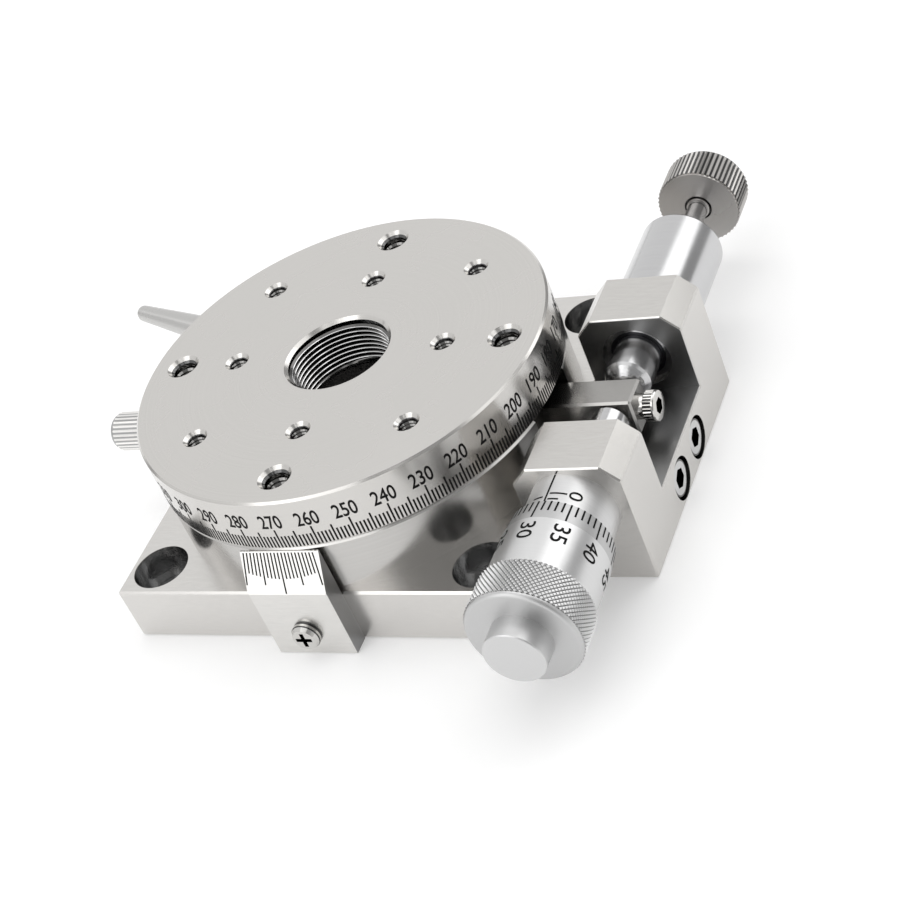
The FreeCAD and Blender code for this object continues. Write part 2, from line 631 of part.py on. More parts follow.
def make_arm_screw():
    """The end screw stops just short of the contact pin that it secures."""
    seat = V(ARM_END_X + WASHER_THICKNESS, ARM_MIDDLE_Y, ARM_MIDDLE_Z)
    length = seat.x - DRIVE_X - CONTACT_PIN_RADIUS - FIT
    return cap_screw(seat, V(1, 0, 0), M25_RADIUS, length, ARM_SCREW_HEAD_RADIUS,
                     ARM_SCREW_HEAD_HEIGHT, M25_HEX_ACROSS)


def make_arm_washer():
    start = V(ARM_END_X, ARM_MIDDLE_Y, ARM_MIDDLE_Z)
    washer = Part.makeCylinder(WASHER_RADIUS, WASHER_THICKNESS, start, V(1, 0, 0))
    return washer.cut(Part.makeCylinder(M25_RADIUS + FIT, WASHER_THICKNESS, start, V(1, 0, 0)))


def clamp_lathe(profile):
    return lathe(profile, V(0, 0, CLAMP_SCREW_HEIGHT), V(-1, 0, 0))


def make_clamp_pad():
    face = HUB_RADIUS + FIT
    radius = M3_RADIUS - RUNNING_FIT
    end = face + CLAMP_PAD_LENGTH
    return clamp_lathe([(0, face), (radius, face), (radius, end), (0, end)])


def make_clamp_screw():
    start = HUB_RADIUS + FIT + CLAMP_PAD_LENGTH + FIT
    shank = M3_RADIUS - RUNNING_FIT
    profile = [(0, start), (shank, start), (shank, CLAMP_KNOB_START)]
    profile.append((CLAMP_KNOB_RADIUS - EDGE_BREAK, CLAMP_KNOB_START))
    profile.append((CLAMP_KNOB_RADIUS, CLAMP_KNOB_START + EDGE_BREAK))
    for step in range(7):
        angle = math.radians(15 * step)
        radius = CLAMP_KNOB_RADIUS - CLAMP_KNOB_ROUND * (1 - math.cos(angle))
        along = CLAMP_KNOB_END - CLAMP_KNOB_ROUND * (1 - math.sin(angle))
        profile.append((radius, along))
    profile.append((0, CLAMP_KNOB_END))
    return clamp_lathe(profile)


def make_lock_lever():
    """A tapered rod on an eccentric boss that brakes the clamp ring."""
    rod_end = LEVER_LENGTH - LEVER_TIP_RADIUS
    shoulder = LEVER_NECK_LENGTH + LEVER_ROOT_RADIUS - LEVER_NECK_RADIUS
    profile = [
        (0, 0),
        (LEVER_NECK_RADIUS, 0),
        (LEVER_NECK_RADIUS, LEVER_NECK_LENGTH),
        (LEVER_ROOT_RADIUS, shoulder),
        (LEVER_TIP_RADIUS, rod_end),
    ]
    for step in range(1, 6):
        angle = math.radians(18 * step)
        radius = LEVER_TIP_RADIUS * math.cos(angle)
        profile.append((max(radius, 0.0), rod_end + LEVER_TIP_RADIUS * math.sin(angle)))
    centre = LEVER_PIVOT + V(0, 0, LEVER_HEIGHT)
    rod = lathe(profile, centre, polar(1, LEVER_DIRECTION))
    aside = polar(LEVER_BOSS_OFFSET, LEVER_PIVOT_ANGLE - 90)
    foot = LEVER_PIVOT + aside + V(0, 0, LEVER_HEIGHT - LEVER_BOSS_HEIGHT / 2)
    boss = Part.makeCylinder(LEVER_BOSS_RADIUS, LEVER_BOSS_HEIGHT, foot)
    boss = boss.makeChamfer(EDGE_BREAK, [e for e in boss.Edges if len(e.Vertexes) == 1])
    hole = Part.makeCylinder(LEVER_PIN_RADIUS + RUNNING_FIT, STAGE_HEIGHT, LEVER_PIVOT)
    return boss.fuse(rod).cut(hole)


def make_lever_pin():
    foot = LEVER_PIVOT + V(0, 0, BASE_THICKNESS - LEVER_PIN_BITE)
    length = HOUSING_TOP - foot.z - FIT
    return Part.makeCylinder(LEVER_PIN_RADIUS, length, foot)


def make_micrometer_bracket():
    low = BRACKET_HEIGHT - BRACKET_CHAMFER
    corners = [
        V(BRACKET_FACE_X, 0, 0),
        V(BRACKET_END_X, 0, 0),
        V(BRACKET_END_X, 0, low),
        V(BRACKET_END_X - BRACKET_CHAMFER, 0, BRACKET_HEIGHT),
        V(BRACKET_FACE_X + BRACKET_CHAMFER, 0, BRACKET_HEIGHT),
        V(BRACKET_FACE_X, 0, low),
    ]
    section = Part.Face(Part.makePolygon(corners + corners[:1]))
    bracket = section.extrude(V(0, 2 * BRACKET_HALF_WIDTH, 0))
    bracket.translate(V(0, -BRACKET_HALF_WIDTH, 0))
    bracket = bracket.cut(box(BRACKET_FACE_X, BRACKET_END_X, -NOTCH_HALF_WIDTH, NOTCH_HALF_WIDTH,
                              NOTCH_FLOOR, BRACKET_HEIGHT))
    ends = (-BRACKET_HALF_WIDTH, -NOTCH_HALF_WIDTH, NOTCH_HALF_WIDTH, BRACKET_HALF_WIDTH)
    sides = (BRACKET_FACE_X, BRACKET_END_X)
    outer_edges = []
    for edge in bracket.Edges:
        inside_corner = lies_at(edge, "Z", (NOTCH_FLOOR,)) and lies_at(edge, "Y", ends)
        if not inside_corner and (lies_at(edge, "Y", ends) or lies_at(edge, "X", sides)):
            outer_edges.append(edge)
    bracket = bracket.makeChamfer(BRACKET_EDGE_BREAK, outer_edges)
    start = V(DRIVE_X, -BRACKET_HALF_WIDTH, DRIVE_HEIGHT)
    width = 2 * BRACKET_HALF_WIDTH
    bracket = bracket.cut(Part.makeCylinder(STEM_HOLE_RADIUS, width, start, V(0, 1, 0)))
    for y in bracket_screw_rows():
        place = V(BRACKET_FACE_X, y, BRACKET_SCREW_HEIGHT)
        hole = Part.makeCylinder(M3_RADIUS + SCREW_HOLE_EXTRA, BRACKET_DEPTH, place, V(1, 0, 0))
        ledge = place + V(BRACKET_DEPTH - BRACKET_SINK_DEPTH, 0, 0)
        sink = Part.makeCylinder(BRACKET_SINK_RADIUS, BRACKET_SINK_DEPTH, ledge, V(1, 0, 0))
        bracket = bracket.cut(hole).cut(sink)
    for y in (-GRUB_Y, GRUB_Y):
        bracket = bracket.cut(Part.makeCylinder(GRUB_RADIUS + FIT, DRIVE_HEIGHT, V(DRIVE_X, y, 0)))
    return bracket


def make_bracket_screws():
    seat_x = BRACKET_END_X - BRACKET_SINK_DEPTH
    length = seat_x - BRACKET_FACE_X + BRACKET_SCREW_BITE
    screws = []
    for y in bracket_screw_rows():
        seat = V(seat_x, y, BRACKET_SCREW_HEIGHT)
        screws.append(cap_screw(seat, V(1, 0, 0), M3_RADIUS, length, M3_HEAD_RADIUS,
                                M3_HEAD_HEIGHT, M3_HEX_ACROSS))
    return compound(screws)


def make_bracket_grub_screws():
    top = DRIVE_HEIGHT - STEM_RADIUS - FIT
    screws = []
    for y in (-GRUB_Y, GRUB_Y):
        foot = V(DRIVE_X, y, GRUB_RECESS)
        grub = Part.makeCylinder(GRUB_RADIUS, top - GRUB_RECESS, foot)
        screws.append(grub.cut(hex_socket(GRUB_HEX_ACROSS, HEX_DEPTH, foot, V(0, 0, -1))))
    return compound(screws)


def make_micrometer_sleeve():
    bore = SPINDLE_RADIUS + RUNNING_FIT
    end = -BRACKET_HALF_WIDTH - SLEEVE_LENGTH
    return drive_lathe([
        (bore, -NOTCH_HALF_WIDTH),
        (STEM_RADIUS, -NOTCH_HALF_WIDTH),
        (STEM_RADIUS, -BRACKET_HALF_WIDTH),
        (SLEEVE_RADIUS, -BRACKET_HALF_WIDTH),
        (SLEEVE_RADIUS, end),
        (bore, end),
    ])


def make_micrometer_spindle():
    nose = dome(SPINDLE_RADIUS, SPINDLE_NOSE_HEIGHT, SPINDLE_TIP_Y, -1)
    shoulder = THIMBLE_END_Y + THIMBLE_END_WALL + FIT
    end = THIMBLE_END_Y + CAP_SPIGOT_LENGTH + FIT
    return drive_lathe(nose + [
        (SPINDLE_RADIUS, shoulder),
        (SPINDLE_TAIL_RADIUS, shoulder),
        (SPINDLE_TAIL_RADIUS, end),
        (0, end),
    ])


def make_thimble():
    bevel_end = THIMBLE_FRONT_Y - THIMBLE_BEVEL_LENGTH
    bore = SLEEVE_RADIUS + THIMBLE_BORE_CLEARANCE
    tail_bore = SPINDLE_TAIL_RADIUS + RUNNING_FIT
    socket = CAP_SPIGOT_RADIUS + FIT
    floor = THIMBLE_END_Y + THIMBLE_END_WALL
    profile = [
        (bore, THIMBLE_FRONT_Y),
        (THIMBLE_FRONT_RADIUS, THIMBLE_FRONT_Y),
        (THIMBLE_RADIUS, bevel_end),
        (THIMBLE_RADIUS, KNURL_START_Y),
        (KNURL_RADIUS - KNURL_CHAMFER / 2, KNURL_START_Y),
        (KNURL_RADIUS, KNURL_START_Y - KNURL_CHAMFER / 2),
    ]
    for step in range(5):
        angle = math.radians(22.5 * step)
        radius = KNURL_RADIUS - THIMBLE_END_ROUND * (1 - math.cos(angle))
        profile.append((radius, THIMBLE_END_Y + THIMBLE_END_ROUND * (1 - math.sin(angle))))
    return drive_lathe(profile + [
        (socket, THIMBLE_END_Y),
        (socket, THIMBLE_END_Y + CAP_SPIGOT_LENGTH),
        (tail_bore, THIMBLE_END_Y + CAP_SPIGOT_LENGTH),
        (tail_bore, floor),
        (bore, floor),
    ])


def make_thimble_cap():
    end = THIMBLE_END_Y - CAP_LENGTH
    return drive_lathe([
        (0, THIMBLE_END_Y + CAP_SPIGOT_LENGTH),
        (CAP_SPIGOT_RADIUS, THIMBLE_END_Y + CAP_SPIGOT_LENGTH),
        (CAP_SPIGOT_RADIUS, THIMBLE_END_Y),
        (CAP_RADIUS, THIMBLE_END_Y),
        (CAP_RADIUS, end + CAP_CHAMFER),
        (CAP_RADIUS - CAP_CHAMFER, end),
        (0, end),
    ])


def make_plunger_barrel():
    mouth = BRACKET_HALF_WIDTH - BARREL_SPIGOT_LENGTH
    floor = BARREL_END_Y - BARREL_END_WALL
    return drive_lathe([
        (BARREL_BORE_RADIUS, mouth),
        (STEM_RADIUS, mouth),
        (STEM_RADIUS, BRACKET_HALF_WIDTH),
        (BARREL_RADIUS, BRACKET_HALF_WIDTH),
        (BARREL_RADIUS, BARREL_END_Y - BARREL_ROUND),
        (BARREL_RADIUS - BARREL_ROUND / 3, BARREL_END_Y - BARREL_ROUND / 3),
        (BARREL_RADIUS - BARREL_ROUND, BARREL_END_Y),
        (PLUNGER_ROD_RADIUS + RUNNING_FIT, BARREL_END_Y),
        (PLUNGER_ROD_RADIUS + RUNNING_FIT, floor),
        (BARREL_BORE_RADIUS, floor),
    ])


def make_plunger_bush():
    start = BRACKET_HALF_WIDTH - BARREL_SPIGOT_LENGTH + BUSH_RECESS
    inner = PLUNGER_RADIUS + RUNNING_FIT
    outer = BARREL_BORE_RADIUS - FIT
    end = start + BUSH_LENGTH
    return drive_lathe([(inner, start), (outer, start), (outer, end), (inner, end)])


def make_plunger_rod():
    nose = dome(PLUNGER_RADIUS, PLUNGER_NOSE_HEIGHT, PLUNGER_TIP_Y, 1)
    neck_start = KNOB_FACE_Y - KNOB_BOSS_RISE - FIT
    end = KNOB_FACE_Y + KNOB_SOCKET_DEPTH - FIT
    return drive_lathe(nose + [
        (PLUNGER_RADIUS, PLUNGER_SHOULDER_Y),
        (PLUNGER_ROD_RADIUS, PLUNGER_SHOULDER_Y),
        (PLUNGER_ROD_RADIUS, neck_start),
        (PLUNGER_NECK_RADIUS, neck_start),
        (PLUNGER_NECK_RADIUS, end),
        (0, end),
    ])


def make_plunger_knob():
    end = KNOB_FACE_Y + KNOB_LENGTH
    socket = PLUNGER_NECK_RADIUS + FIT
    boss_face = KNOB_FACE_Y - KNOB_BOSS_RISE
    return drive_lathe([
        (socket, boss_face),
        (KNOB_BOSS_RADIUS - KNOB_BOSS_ROUND, boss_face),
        (KNOB_BOSS_RADIUS, boss_face + KNOB_BOSS_ROUND),
        (KNOB_BOSS_RADIUS, KNOB_FACE_Y + KNOB_RECESS_DEPTH),
        (KNOB_RECESS_RADIUS, KNOB_FACE_Y + KNOB_RECESS_DEPTH),
        (KNOB_RECESS_RADIUS, KNOB_FACE_Y),
        (KNOB_RADIUS - KNOB_CHAMFER, KNOB_FACE_Y),
        (KNOB_RADIUS, KNOB_FACE_Y + KNOB_CHAMFER),
        (KNOB_RADIUS, end - KNOB_CHAMFER),
        (KNOB_RADIUS - KNOB_CHAMFER, end),
        (0, end),
        (0, KNOB_FACE_Y + KNOB_SOCKET_DEPTH),
        (socket, KNOB_FACE_Y + KNOB_SOCKET_DEPTH),
    ])


def make_plunger_spring():
    """A coil spring whose wire has eight flats, which keeps its surface light."""
    seat = PLUNGER_SHOULDER_Y + SPRING_SEAT_GAP + SPRING_WIRE_RADIUS
    end = BARREL_END_Y - BARREL_END_WALL - SPRING_SEAT_GAP - SPRING_WIRE_RADIUS
    length = end - seat
    helix = Part.makeHelix(length / SPRING_TURNS, length, SPRING_RADIUS)
    corners = []
    for step in range(8):
        angle = math.radians(45 * step)
        corners.append(V(SPRING_RADIUS + SPRING_WIRE_RADIUS * math.cos(angle), 0,
                         SPRING_WIRE_RADIUS * math.sin(angle)))
    wire = Part.makePolygon(corners + corners[:1])
    spring = Part.Wire(helix.Edges).makePipeShell([wire], True, True)
    turn = FreeCAD.Rotation(V(0, 0, 1), V(0, 1, 0))
    spring.Placement = FreeCAD.Placement(V(DRIVE_X, seat, DRIVE_HEIGHT), turn)
    return spring


def make_vernier_plate():
    back = -BASE_SIDE / 2
    front = back - VERNIER_THICKNESS
    top = TABLE_UNDERSIDE - VERNIER_TOP_GAP
    corners = [
        V(0, back, VERNIER_FOOT),
        V(0, front, VERNIER_FOOT),
        V(0, front, VERNIER_BEND_HEIGHT),
        V(0, back - VERNIER_TOP_THICKNESS, top),
        V(0, back, top),
    ]
    section = Part.Face(Part.makePolygon(corners + corners[:1]))
    plate = section.extrude(V(VERNIER_WIDTH, 0, 0))
    plate.translate(V(VERNIER_X - VERNIER_WIDTH / 2, 0, 0))
    front_edges = []
    for edge in plate.Edges:
        if lies_at(edge, "Y", (front,)) and not lies_at(edge, "Z", (VERNIER_BEND_HEIGHT,)):
            front_edges.append(edge)
    plate = plate.makeChamfer(VERNIER_EDGE_BREAK, front_edges)
    hole = V(VERNIER_X, front, VERNIER_SCREW_HEIGHT)
    return plate.cut(Part.makeCylinder(M25_RADIUS + SCREW_HOLE_EXTRA, VERNIER_THICKNESS, hole,
                                       V(0, 1, 0)))


def make_vernier_screw():
    seat_y = -BASE_SIDE / 2 - VERNIER_THICKNESS
    length = VERNIER_THICKNESS + VERNIER_SCREW_BITE
    seat = V(VERNIER_X, seat_y, VERNIER_SCREW_HEIGHT)
    screw = lathe([
        (0, -length),
        (M25_RADIUS, -length),
        (M25_RADIUS, 0),
        (PAN_HEAD_RADIUS, 0),
        (PAN_HEAD_RADIUS, PAN_HEAD_HEIGHT / 2),
        (PAN_FACE_RADIUS, PAN_HEAD_HEIGHT),
        (0, PAN_HEAD_HEIGHT),
    ], seat, V(0, -1, 0))
    face_y = seat_y - PAN_HEAD_HEIGHT
    for wide, tall in ((PAN_CROSS_LENGTH, PAN_CROSS_WIDTH), (PAN_CROSS_WIDTH, PAN_CROSS_LENGTH)):
        screw = screw.cut(box(seat.x - wide / 2, seat.x + wide / 2, face_y,
                              face_y + PAN_CROSS_DEPTH, seat.z - tall / 2, seat.z + tall / 2))
    return screw


def parts():
    return {
        "base_plate": make_base_plate(),
        "housing_ring": make_housing_ring(),
        "housing_screws": make_housing_screws(),
        "outer_race_lower": make_outer_race(BEARING_BOTTOM, BEARING_MIDDLE),
        "outer_race_upper": make_outer_race(BEARING_MIDDLE, BEARING_TOP),
        "bearing_retainer": make_bearing_retainer(),
        "inner_race": make_inner_race(),
        "crossed_rollers": make_crossed_rollers(),
        "roller_spacers": make_roller_spacers(),
        "rotary_table": make_rotary_table(),
        "table_hub": make_table_hub(),
        "hub_screws": make_hub_screws(),
        "hub_nut": make_hub_nut(),
        "tangent_arm": make_tangent_arm(),
        "contact_pin": make_contact_pin(),
        "arm_screw": make_arm_screw(),
        "arm_washer": make_arm_washer(),
        "clamp_pad": make_clamp_pad(),
        "clamp_screw": make_clamp_screw(),
        "lock_lever": make_lock_lever(),
        "lever_pin": make_lever_pin(),
        "micrometer_bracket": make_micrometer_bracket(),
        "bracket_screws": make_bracket_screws(),
        "bracket_grub_screws": make_bracket_grub_screws(),
        "micrometer_sleeve": make_micrometer_sleeve(),
        "micrometer_spindle": make_micrometer_spindle(),
        "thimble": make_thimble(),
        "thimble_cap": make_thimble_cap(),
        "plunger_barrel": make_plunger_barrel(),
        "plunger_bush": make_plunger_bush(),
        "plunger_rod": make_plunger_rod(),
        "plunger_knob": make_plunger_knob(),
        "plunger_spring": make_plunger_spring(),
        "vernier_plate": make_vernier_plate(),
        "vernier_screw": make_vernier_screw(),
    }


def main():
    os.makedirs("parts", exist_ok=True)
    for name, shape in parts().items():
        shape.exportStep("parts/" + name + ".step")


main()
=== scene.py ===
import bpy
import bmesh
import json
import math
from mathutils import Matrix, Quaternion, Vector

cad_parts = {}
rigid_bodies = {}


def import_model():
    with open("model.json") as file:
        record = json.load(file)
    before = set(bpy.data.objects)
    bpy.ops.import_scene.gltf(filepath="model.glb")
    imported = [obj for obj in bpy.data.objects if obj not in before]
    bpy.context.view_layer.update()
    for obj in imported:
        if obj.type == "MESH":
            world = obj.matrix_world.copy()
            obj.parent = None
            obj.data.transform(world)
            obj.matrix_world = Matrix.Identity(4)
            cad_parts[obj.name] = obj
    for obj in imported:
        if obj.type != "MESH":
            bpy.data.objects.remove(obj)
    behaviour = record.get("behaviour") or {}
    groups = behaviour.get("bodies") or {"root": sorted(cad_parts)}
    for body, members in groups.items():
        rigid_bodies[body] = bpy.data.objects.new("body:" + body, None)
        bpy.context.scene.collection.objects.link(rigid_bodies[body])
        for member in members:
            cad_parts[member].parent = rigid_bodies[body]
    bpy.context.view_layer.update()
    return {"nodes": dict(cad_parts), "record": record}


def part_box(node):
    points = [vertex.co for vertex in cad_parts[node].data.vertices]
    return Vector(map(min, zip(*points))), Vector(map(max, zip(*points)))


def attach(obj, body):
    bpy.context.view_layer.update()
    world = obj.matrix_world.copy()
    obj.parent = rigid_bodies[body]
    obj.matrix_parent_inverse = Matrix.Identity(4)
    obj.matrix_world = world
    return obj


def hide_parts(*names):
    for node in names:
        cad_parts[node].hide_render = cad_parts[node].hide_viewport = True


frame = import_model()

# Lengths are in metres. Z is the table's turning axis and -Y faces the vernier plate.
MM = 0.001

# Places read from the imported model
TABLE_LOW, TABLE_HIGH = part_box("rotary_table")
TABLE_RADIUS = TABLE_HIGH.x
TABLE_FOOT = TABLE_LOW.z
TABLE_TOP = TABLE_HIGH.z
BASE_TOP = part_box("base_plate")[1].z
PLATE_LOW, PLATE_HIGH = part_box("vernier_plate")
VERNIER_SCREW_LOW, VERNIER_SCREW_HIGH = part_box("vernier_screw")
BRACKET_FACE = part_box("micrometer_bracket")[1].x
BRACKET_SCREW_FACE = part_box("bracket_screws")[1].x
THIMBLE_LOW, THIMBLE_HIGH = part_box("thimble")
THIMBLE_FRONT = THIMBLE_HIGH.y
THIMBLE_BACK = THIMBLE_LOW.y
KNURL_RADIUS = (THIMBLE_HIGH.x - THIMBLE_LOW.x) / 2
DRIVE_X = (THIMBLE_LOW.x + THIMBLE_HIGH.x) / 2
DRIVE_Z = (THIMBLE_LOW.z + THIMBLE_HIGH.z) / 2
SLEEVE_LOW, SLEEVE_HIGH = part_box("micrometer_sleeve")
SLEEVE_RADIUS = (SLEEVE_HIGH.x - SLEEVE_LOW.x) / 2
KNOB_LOW, KNOB_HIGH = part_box("plunger_knob")
CLAMP_LOW, CLAMP_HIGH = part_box("clamp_screw")
ARM_SCREW_LOW, ARM_SCREW_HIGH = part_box("arm_screw")

ALONG_X = (1.0, 0.0, 0.0)
ALONG_Y = (0.0, 1.0, 0.0)
ALONG_Z = (0.0, 0.0, 1.0)

# Lines that finishes are turned about or lie near, each a (centre, axis)
TURNING_AXIS = ((0.0, 0.0, 0.0), ALONG_Z)
DRIVE_LINE = ((DRIVE_X, 0.0, DRIVE_Z), ALONG_Y)
VERNIER_SCREW_LINE = ((VERNIER_SCREW_LOW + VERNIER_SCREW_HIGH) / 2, ALONG_Y)
BRACKET_SCREW_Y = 4.0 * MM
BRACKET_SCREW_Z = 3.2 * MM
BRACKET_SCREW_LINES = [((0.0, y, BRACKET_SCREW_Z), ALONG_X)
                       for y in (-BRACKET_SCREW_Y, BRACKET_SCREW_Y)]

# Height by which printed marks stand proud
INK = 0.012 * MM

# Colour of each metal by its material's name, and its roughness
NICKEL = (0.62, 0.606, 0.585)
SATIN_CHROME = (0.66, 0.66, 0.66)
SCREW_STEEL = (0.62, 0.61, 0.59)
METALS = {
    "satin_nickel": (NICKEL, 0.24),
    "satin_chrome": (SATIN_CHROME, 0.36),
    "bright_chrome": ((0.56, 0.56, 0.565), 0.19),
    "bearing_steel": ((0.5, 0.5, 0.51), 0.16),
    "bright_screw": ((0.68, 0.67, 0.65), 0.15),
    "black_steel": ((0.05, 0.05, 0.055), 0.35),
    "spring_steel": ((0.5, 0.5, 0.5), 0.25),
    "brass_pad": ((0.72, 0.53, 0.24), 0.25),
    "turned_nickel": (NICKEL, 0.27),
    "ground_base": ((0.67, 0.656, 0.636), 0.24),
    "turned_wall": ((0.54, 0.53, 0.515), 0.2),
    # The hub's dark colour is painted shade, as it sits deep in the table's centre hole
    "turned_hub": ((0.3, 0.295, 0.29), 0.2),
    "turned_lever": ((0.53, 0.525, 0.515), 0.3),
    "ground_bracket": (NICKEL, 0.24),
    "ground_plate": ((0.72, 0.71, 0.69), 0.24),
    "ground_arm": ((0.38, 0.372, 0.36), 0.24),
    "turned_rod": ((0.56, 0.56, 0.565), 0.2),
    "turned_sleeve": (SATIN_CHROME, 0.44),
    "turned_cap": ((0.63, 0.63, 0.63), 0.4),
    "turned_chrome": (SATIN_CHROME, 0.36),
    "turned_steel": ((0.46, 0.445, 0.43), 0.27),
    "turned_head": ((0.82, 0.81, 0.79), 0.3),
    # Dark colour of the socket screws: painted shade on the edges and sides of their heads, whose
    # faces get their own colour back
    "socket_screws": ((0.1, 0.098, 0.095), 0.15),
    "cross_screw": (SCREW_STEEL, 0.12),
    "knurled_screw": (SCREW_STEEL, 0.16),
    # Dark colours of the threads: painted shade inside the tapped holes
    "cut_thread": ((0.24, 0.236, 0.23), 0.09),
    "centre_thread": ((0.14, 0.137, 0.134), 0.12),
}
SPACER_COLOUR = (0.82, 0.82, 0.76)
WHITE = (1.0, 1.0, 1.0, 1.0)

# Marks and clouds on the metals. Straight marks of a ground face run along X.
EVEN = (1.0, 1.0, 1.0)
GROUND = (0.15, 1.0, 1.0)
NOISE_MIDDLE = (0.3, 0.7)
GRAIN_SCALE = 4000.0
GRAIN_RELIEF = 0.02 * MM
CLOUD_SCALE = 90.0
ROUGHNESS_SPREAD = 0.03


# Node helpers, which take a node tree and give a socket

def feed(tree, value, socket):
    """Link a socket to another one, or set it to a constant."""
    if isinstance(value, bpy.types.NodeSocket):
        tree.links.new(value, socket)
    else:
        socket.default_value = value


def math_node(tree, operation, first, second):
    node = tree.nodes.new("ShaderNodeMath")
    node.operation = operation
    feed(tree, first, node.inputs[0])
    feed(tree, second, node.inputs[1])
    return node.outputs["Value"]


def vector_node(tree, operation, first, second=None):
    """Vector arithmetic, which gives a number for a length or a dot product."""
    node = tree.nodes.new("ShaderNodeVectorMath")
    node.operation = operation
    feed(tree, first, node.inputs[0])
    if second is not None:
        feed(tree, second, node.inputs[1])
    return node.outputs["Value" if operation in ("LENGTH", "DOT_PRODUCT") else "Vector"]


def split_vector(tree, vector):
    node = tree.nodes.new("ShaderNodeSeparateXYZ")
    tree.links.new(vector, node.inputs["Vector"])
    return node.outputs


def map_range(tree, value, source, target):
    """Carry a value from its source range over to a target range, and keep it inside."""
    node = tree.nodes.new("ShaderNodeMapRange")
    feed(tree, value, node.inputs["Value"])
    for label, end in zip(("From Min", "From Max", "To Min", "To Max"), (*source, *target)):
        feed(tree, end, node.inputs[label])
    return node.outputs["Result"]


def colour_run(tree, value, dark, light, ends=(0.0, 1.0)):
    """Colours from a dark to a light one, as a value runs from one end to the other."""
    node = tree.nodes.new("ShaderNodeValToRGB")
    for element, end, colour in zip(node.color_ramp.elements, ends, (dark, light)):
        element.position = end
        element.color = (*colour, 1.0)
    tree.links.new(value, node.inputs["Fac"])
    return node.outputs["Color"]


def noise(tree, place, scale, detail=3.0):
    texture = tree.nodes.new("ShaderNodeTexNoise")
    texture.inputs["Scale"].default_value = scale
    texture.inputs["Detail"].default_value = detail
    tree.links.new(place, texture.inputs["Vector"])
    return texture.outputs["Fac"]


def object_place(tree):
    """Object coordinates in metres."""
    return tree.nodes.new("ShaderNodeTexCoord").outputs["Object"]


def stretched_place(tree, stretch):
    scale = tree.nodes.new("ShaderNodeMapping")
    scale.inputs["Scale"].default_value = stretch
    tree.links.new(object_place(tree), scale.inputs["Vector"])
    return scale.outputs["Vector"]


def distance_from_line(tree, centre, axis):
    offset = vector_node(tree, "SUBTRACT", object_place(tree), centre)
    return vector_node(tree, "LENGTH", vector_node(tree, "CROSS_PRODUCT", offset, axis))


def turned_place(tree, centre, axis):
    """The distance from a line and the place along it, which draw turning marks."""
    offset = vector_node(tree, "SUBTRACT", object_place(tree), centre)
    pair = tree.nodes.new("ShaderNodeCombineXYZ")
    tree.links.new(distance_from_line(tree, centre, axis), pair.inputs["X"])
    tree.links.new(vector_node(tree, "DOT_PRODUCT", offset, axis), pair.inputs["Y"])
    return pair.outputs["Vector"]


# Masks: one where a thing holds and zero elsewhere

def near_line(tree, centre, axis, radius):
    return math_node(tree, "LESS_THAN", distance_from_line(tree, centre, axis), radius)


def near_lines(tree, lines, radius):
    """One where a place is nearer than the radius to any of the lines."""
    found = near_line(tree, *lines[0], radius)
    for line in lines[1:]:
        found = math_node(tree, "MAXIMUM", found, near_line(tree, *line, radius))
    return found


def in_corner_holes(tree, reach, radius):
    """One inside four upright holes that lie at plus and minus the reach along X and Y."""
    folded = vector_node(tree, "ABSOLUTE", object_place(tree))
    offset = vector_node(tree, "SUBTRACT", folded, (reach, reach, 0.0))
    flat = vector_node(tree, "MULTIPLY", offset, (1.0, 1.0, 0.0))
    return math_node(tree, "LESS_THAN", vector_node(tree, "LENGTH", flat), radius)


def beyond(tree, axis, sign, level):
    """One where a place lies beyond a level along one axis."""
    operation = "GREATER_THAN" if sign > 0 else "LESS_THAN"
    return math_node(tree, operation, split_vector(tree, object_place(tree))[axis], level)


def product(tree, first, *others):
    """The product of values, which for masks is one where all of them are one."""
    for value in others:
        first = math_node(tree, "MULTIPLY", first, value)
    return first


# Materials

def new_material(name):
    material = bpy.data.materials.new(name)
    material.use_nodes = True
    return material, material.node_tree, material.node_tree.nodes["Principled BSDF"]


def shaded(colour, factor):
    return [min(channel * factor, 1.0) for channel in colour]


def metal(name, grain_depth=0.012, tint=0.025, stretch=EVEN, turned=None):
    """Metal with fine machining marks, straight or turned about a line."""
    colour, roughness = METALS[name]
    material, tree, shader = new_material(name)
    shader.inputs["Metallic"].default_value = 1.0
    place = turned_place(tree, *turned) if turned else stretched_place(tree, stretch)
    marks = noise(tree, place, GRAIN_SCALE)
    cloud = noise(tree, stretched_place(tree, EVEN), CLOUD_SCALE)
    rough = map_range(tree, cloud, NOISE_MIDDLE,
                      (roughness - ROUGHNESS_SPREAD, roughness + ROUGHNESS_SPREAD))
    tree.links.new(rough, shader.inputs["Roughness"])
    shade = colour_run(tree, marks, shaded(colour, 1 - tint), shaded(colour, 1 + tint),
                       NOISE_MIDDLE)
    tree.links.new(shade, shader.inputs["Base Color"])
    bump = tree.nodes.new("ShaderNodeBump")
    bump.inputs["Strength"].default_value = grain_depth
    bump.inputs["Distance"].default_value = GRAIN_RELIEF
    tree.links.new(marks, bump.inputs["Height"])
    tree.links.new(bump.outputs["Normal"], shader.inputs["Normal"])
    return material


INK_DARK = (0.003, 0.003, 0.003)
INK_WORN = (0.012, 0.012, 0.012)
INK_WEAR_SCALE = 3000.0
INK_ROUGHNESS = 0.7
INK_SPECULAR = 0.15


def ink():
    """Black fill of the engraved marks, with a little wear in it."""
    material, tree, shader = new_material("scale_ink")
    wear = noise(tree, stretched_place(tree, EVEN), INK_WEAR_SCALE)
    tree.links.new(colour_run(tree, wear, INK_DARK, INK_WORN), shader.inputs["Base Color"])
    shader.inputs["Roughness"].default_value = INK_ROUGHNESS
    shader.inputs["Specular IOR Level"].default_value = INK_SPECULAR
    return material


PLASTIC_CLOUD_SCALE = 1200.0
PLASTIC_CLOUD_DETAIL = 2.0
PLASTIC_DARKEST = 0.92
PLASTIC_ROUGHNESS = 0.5


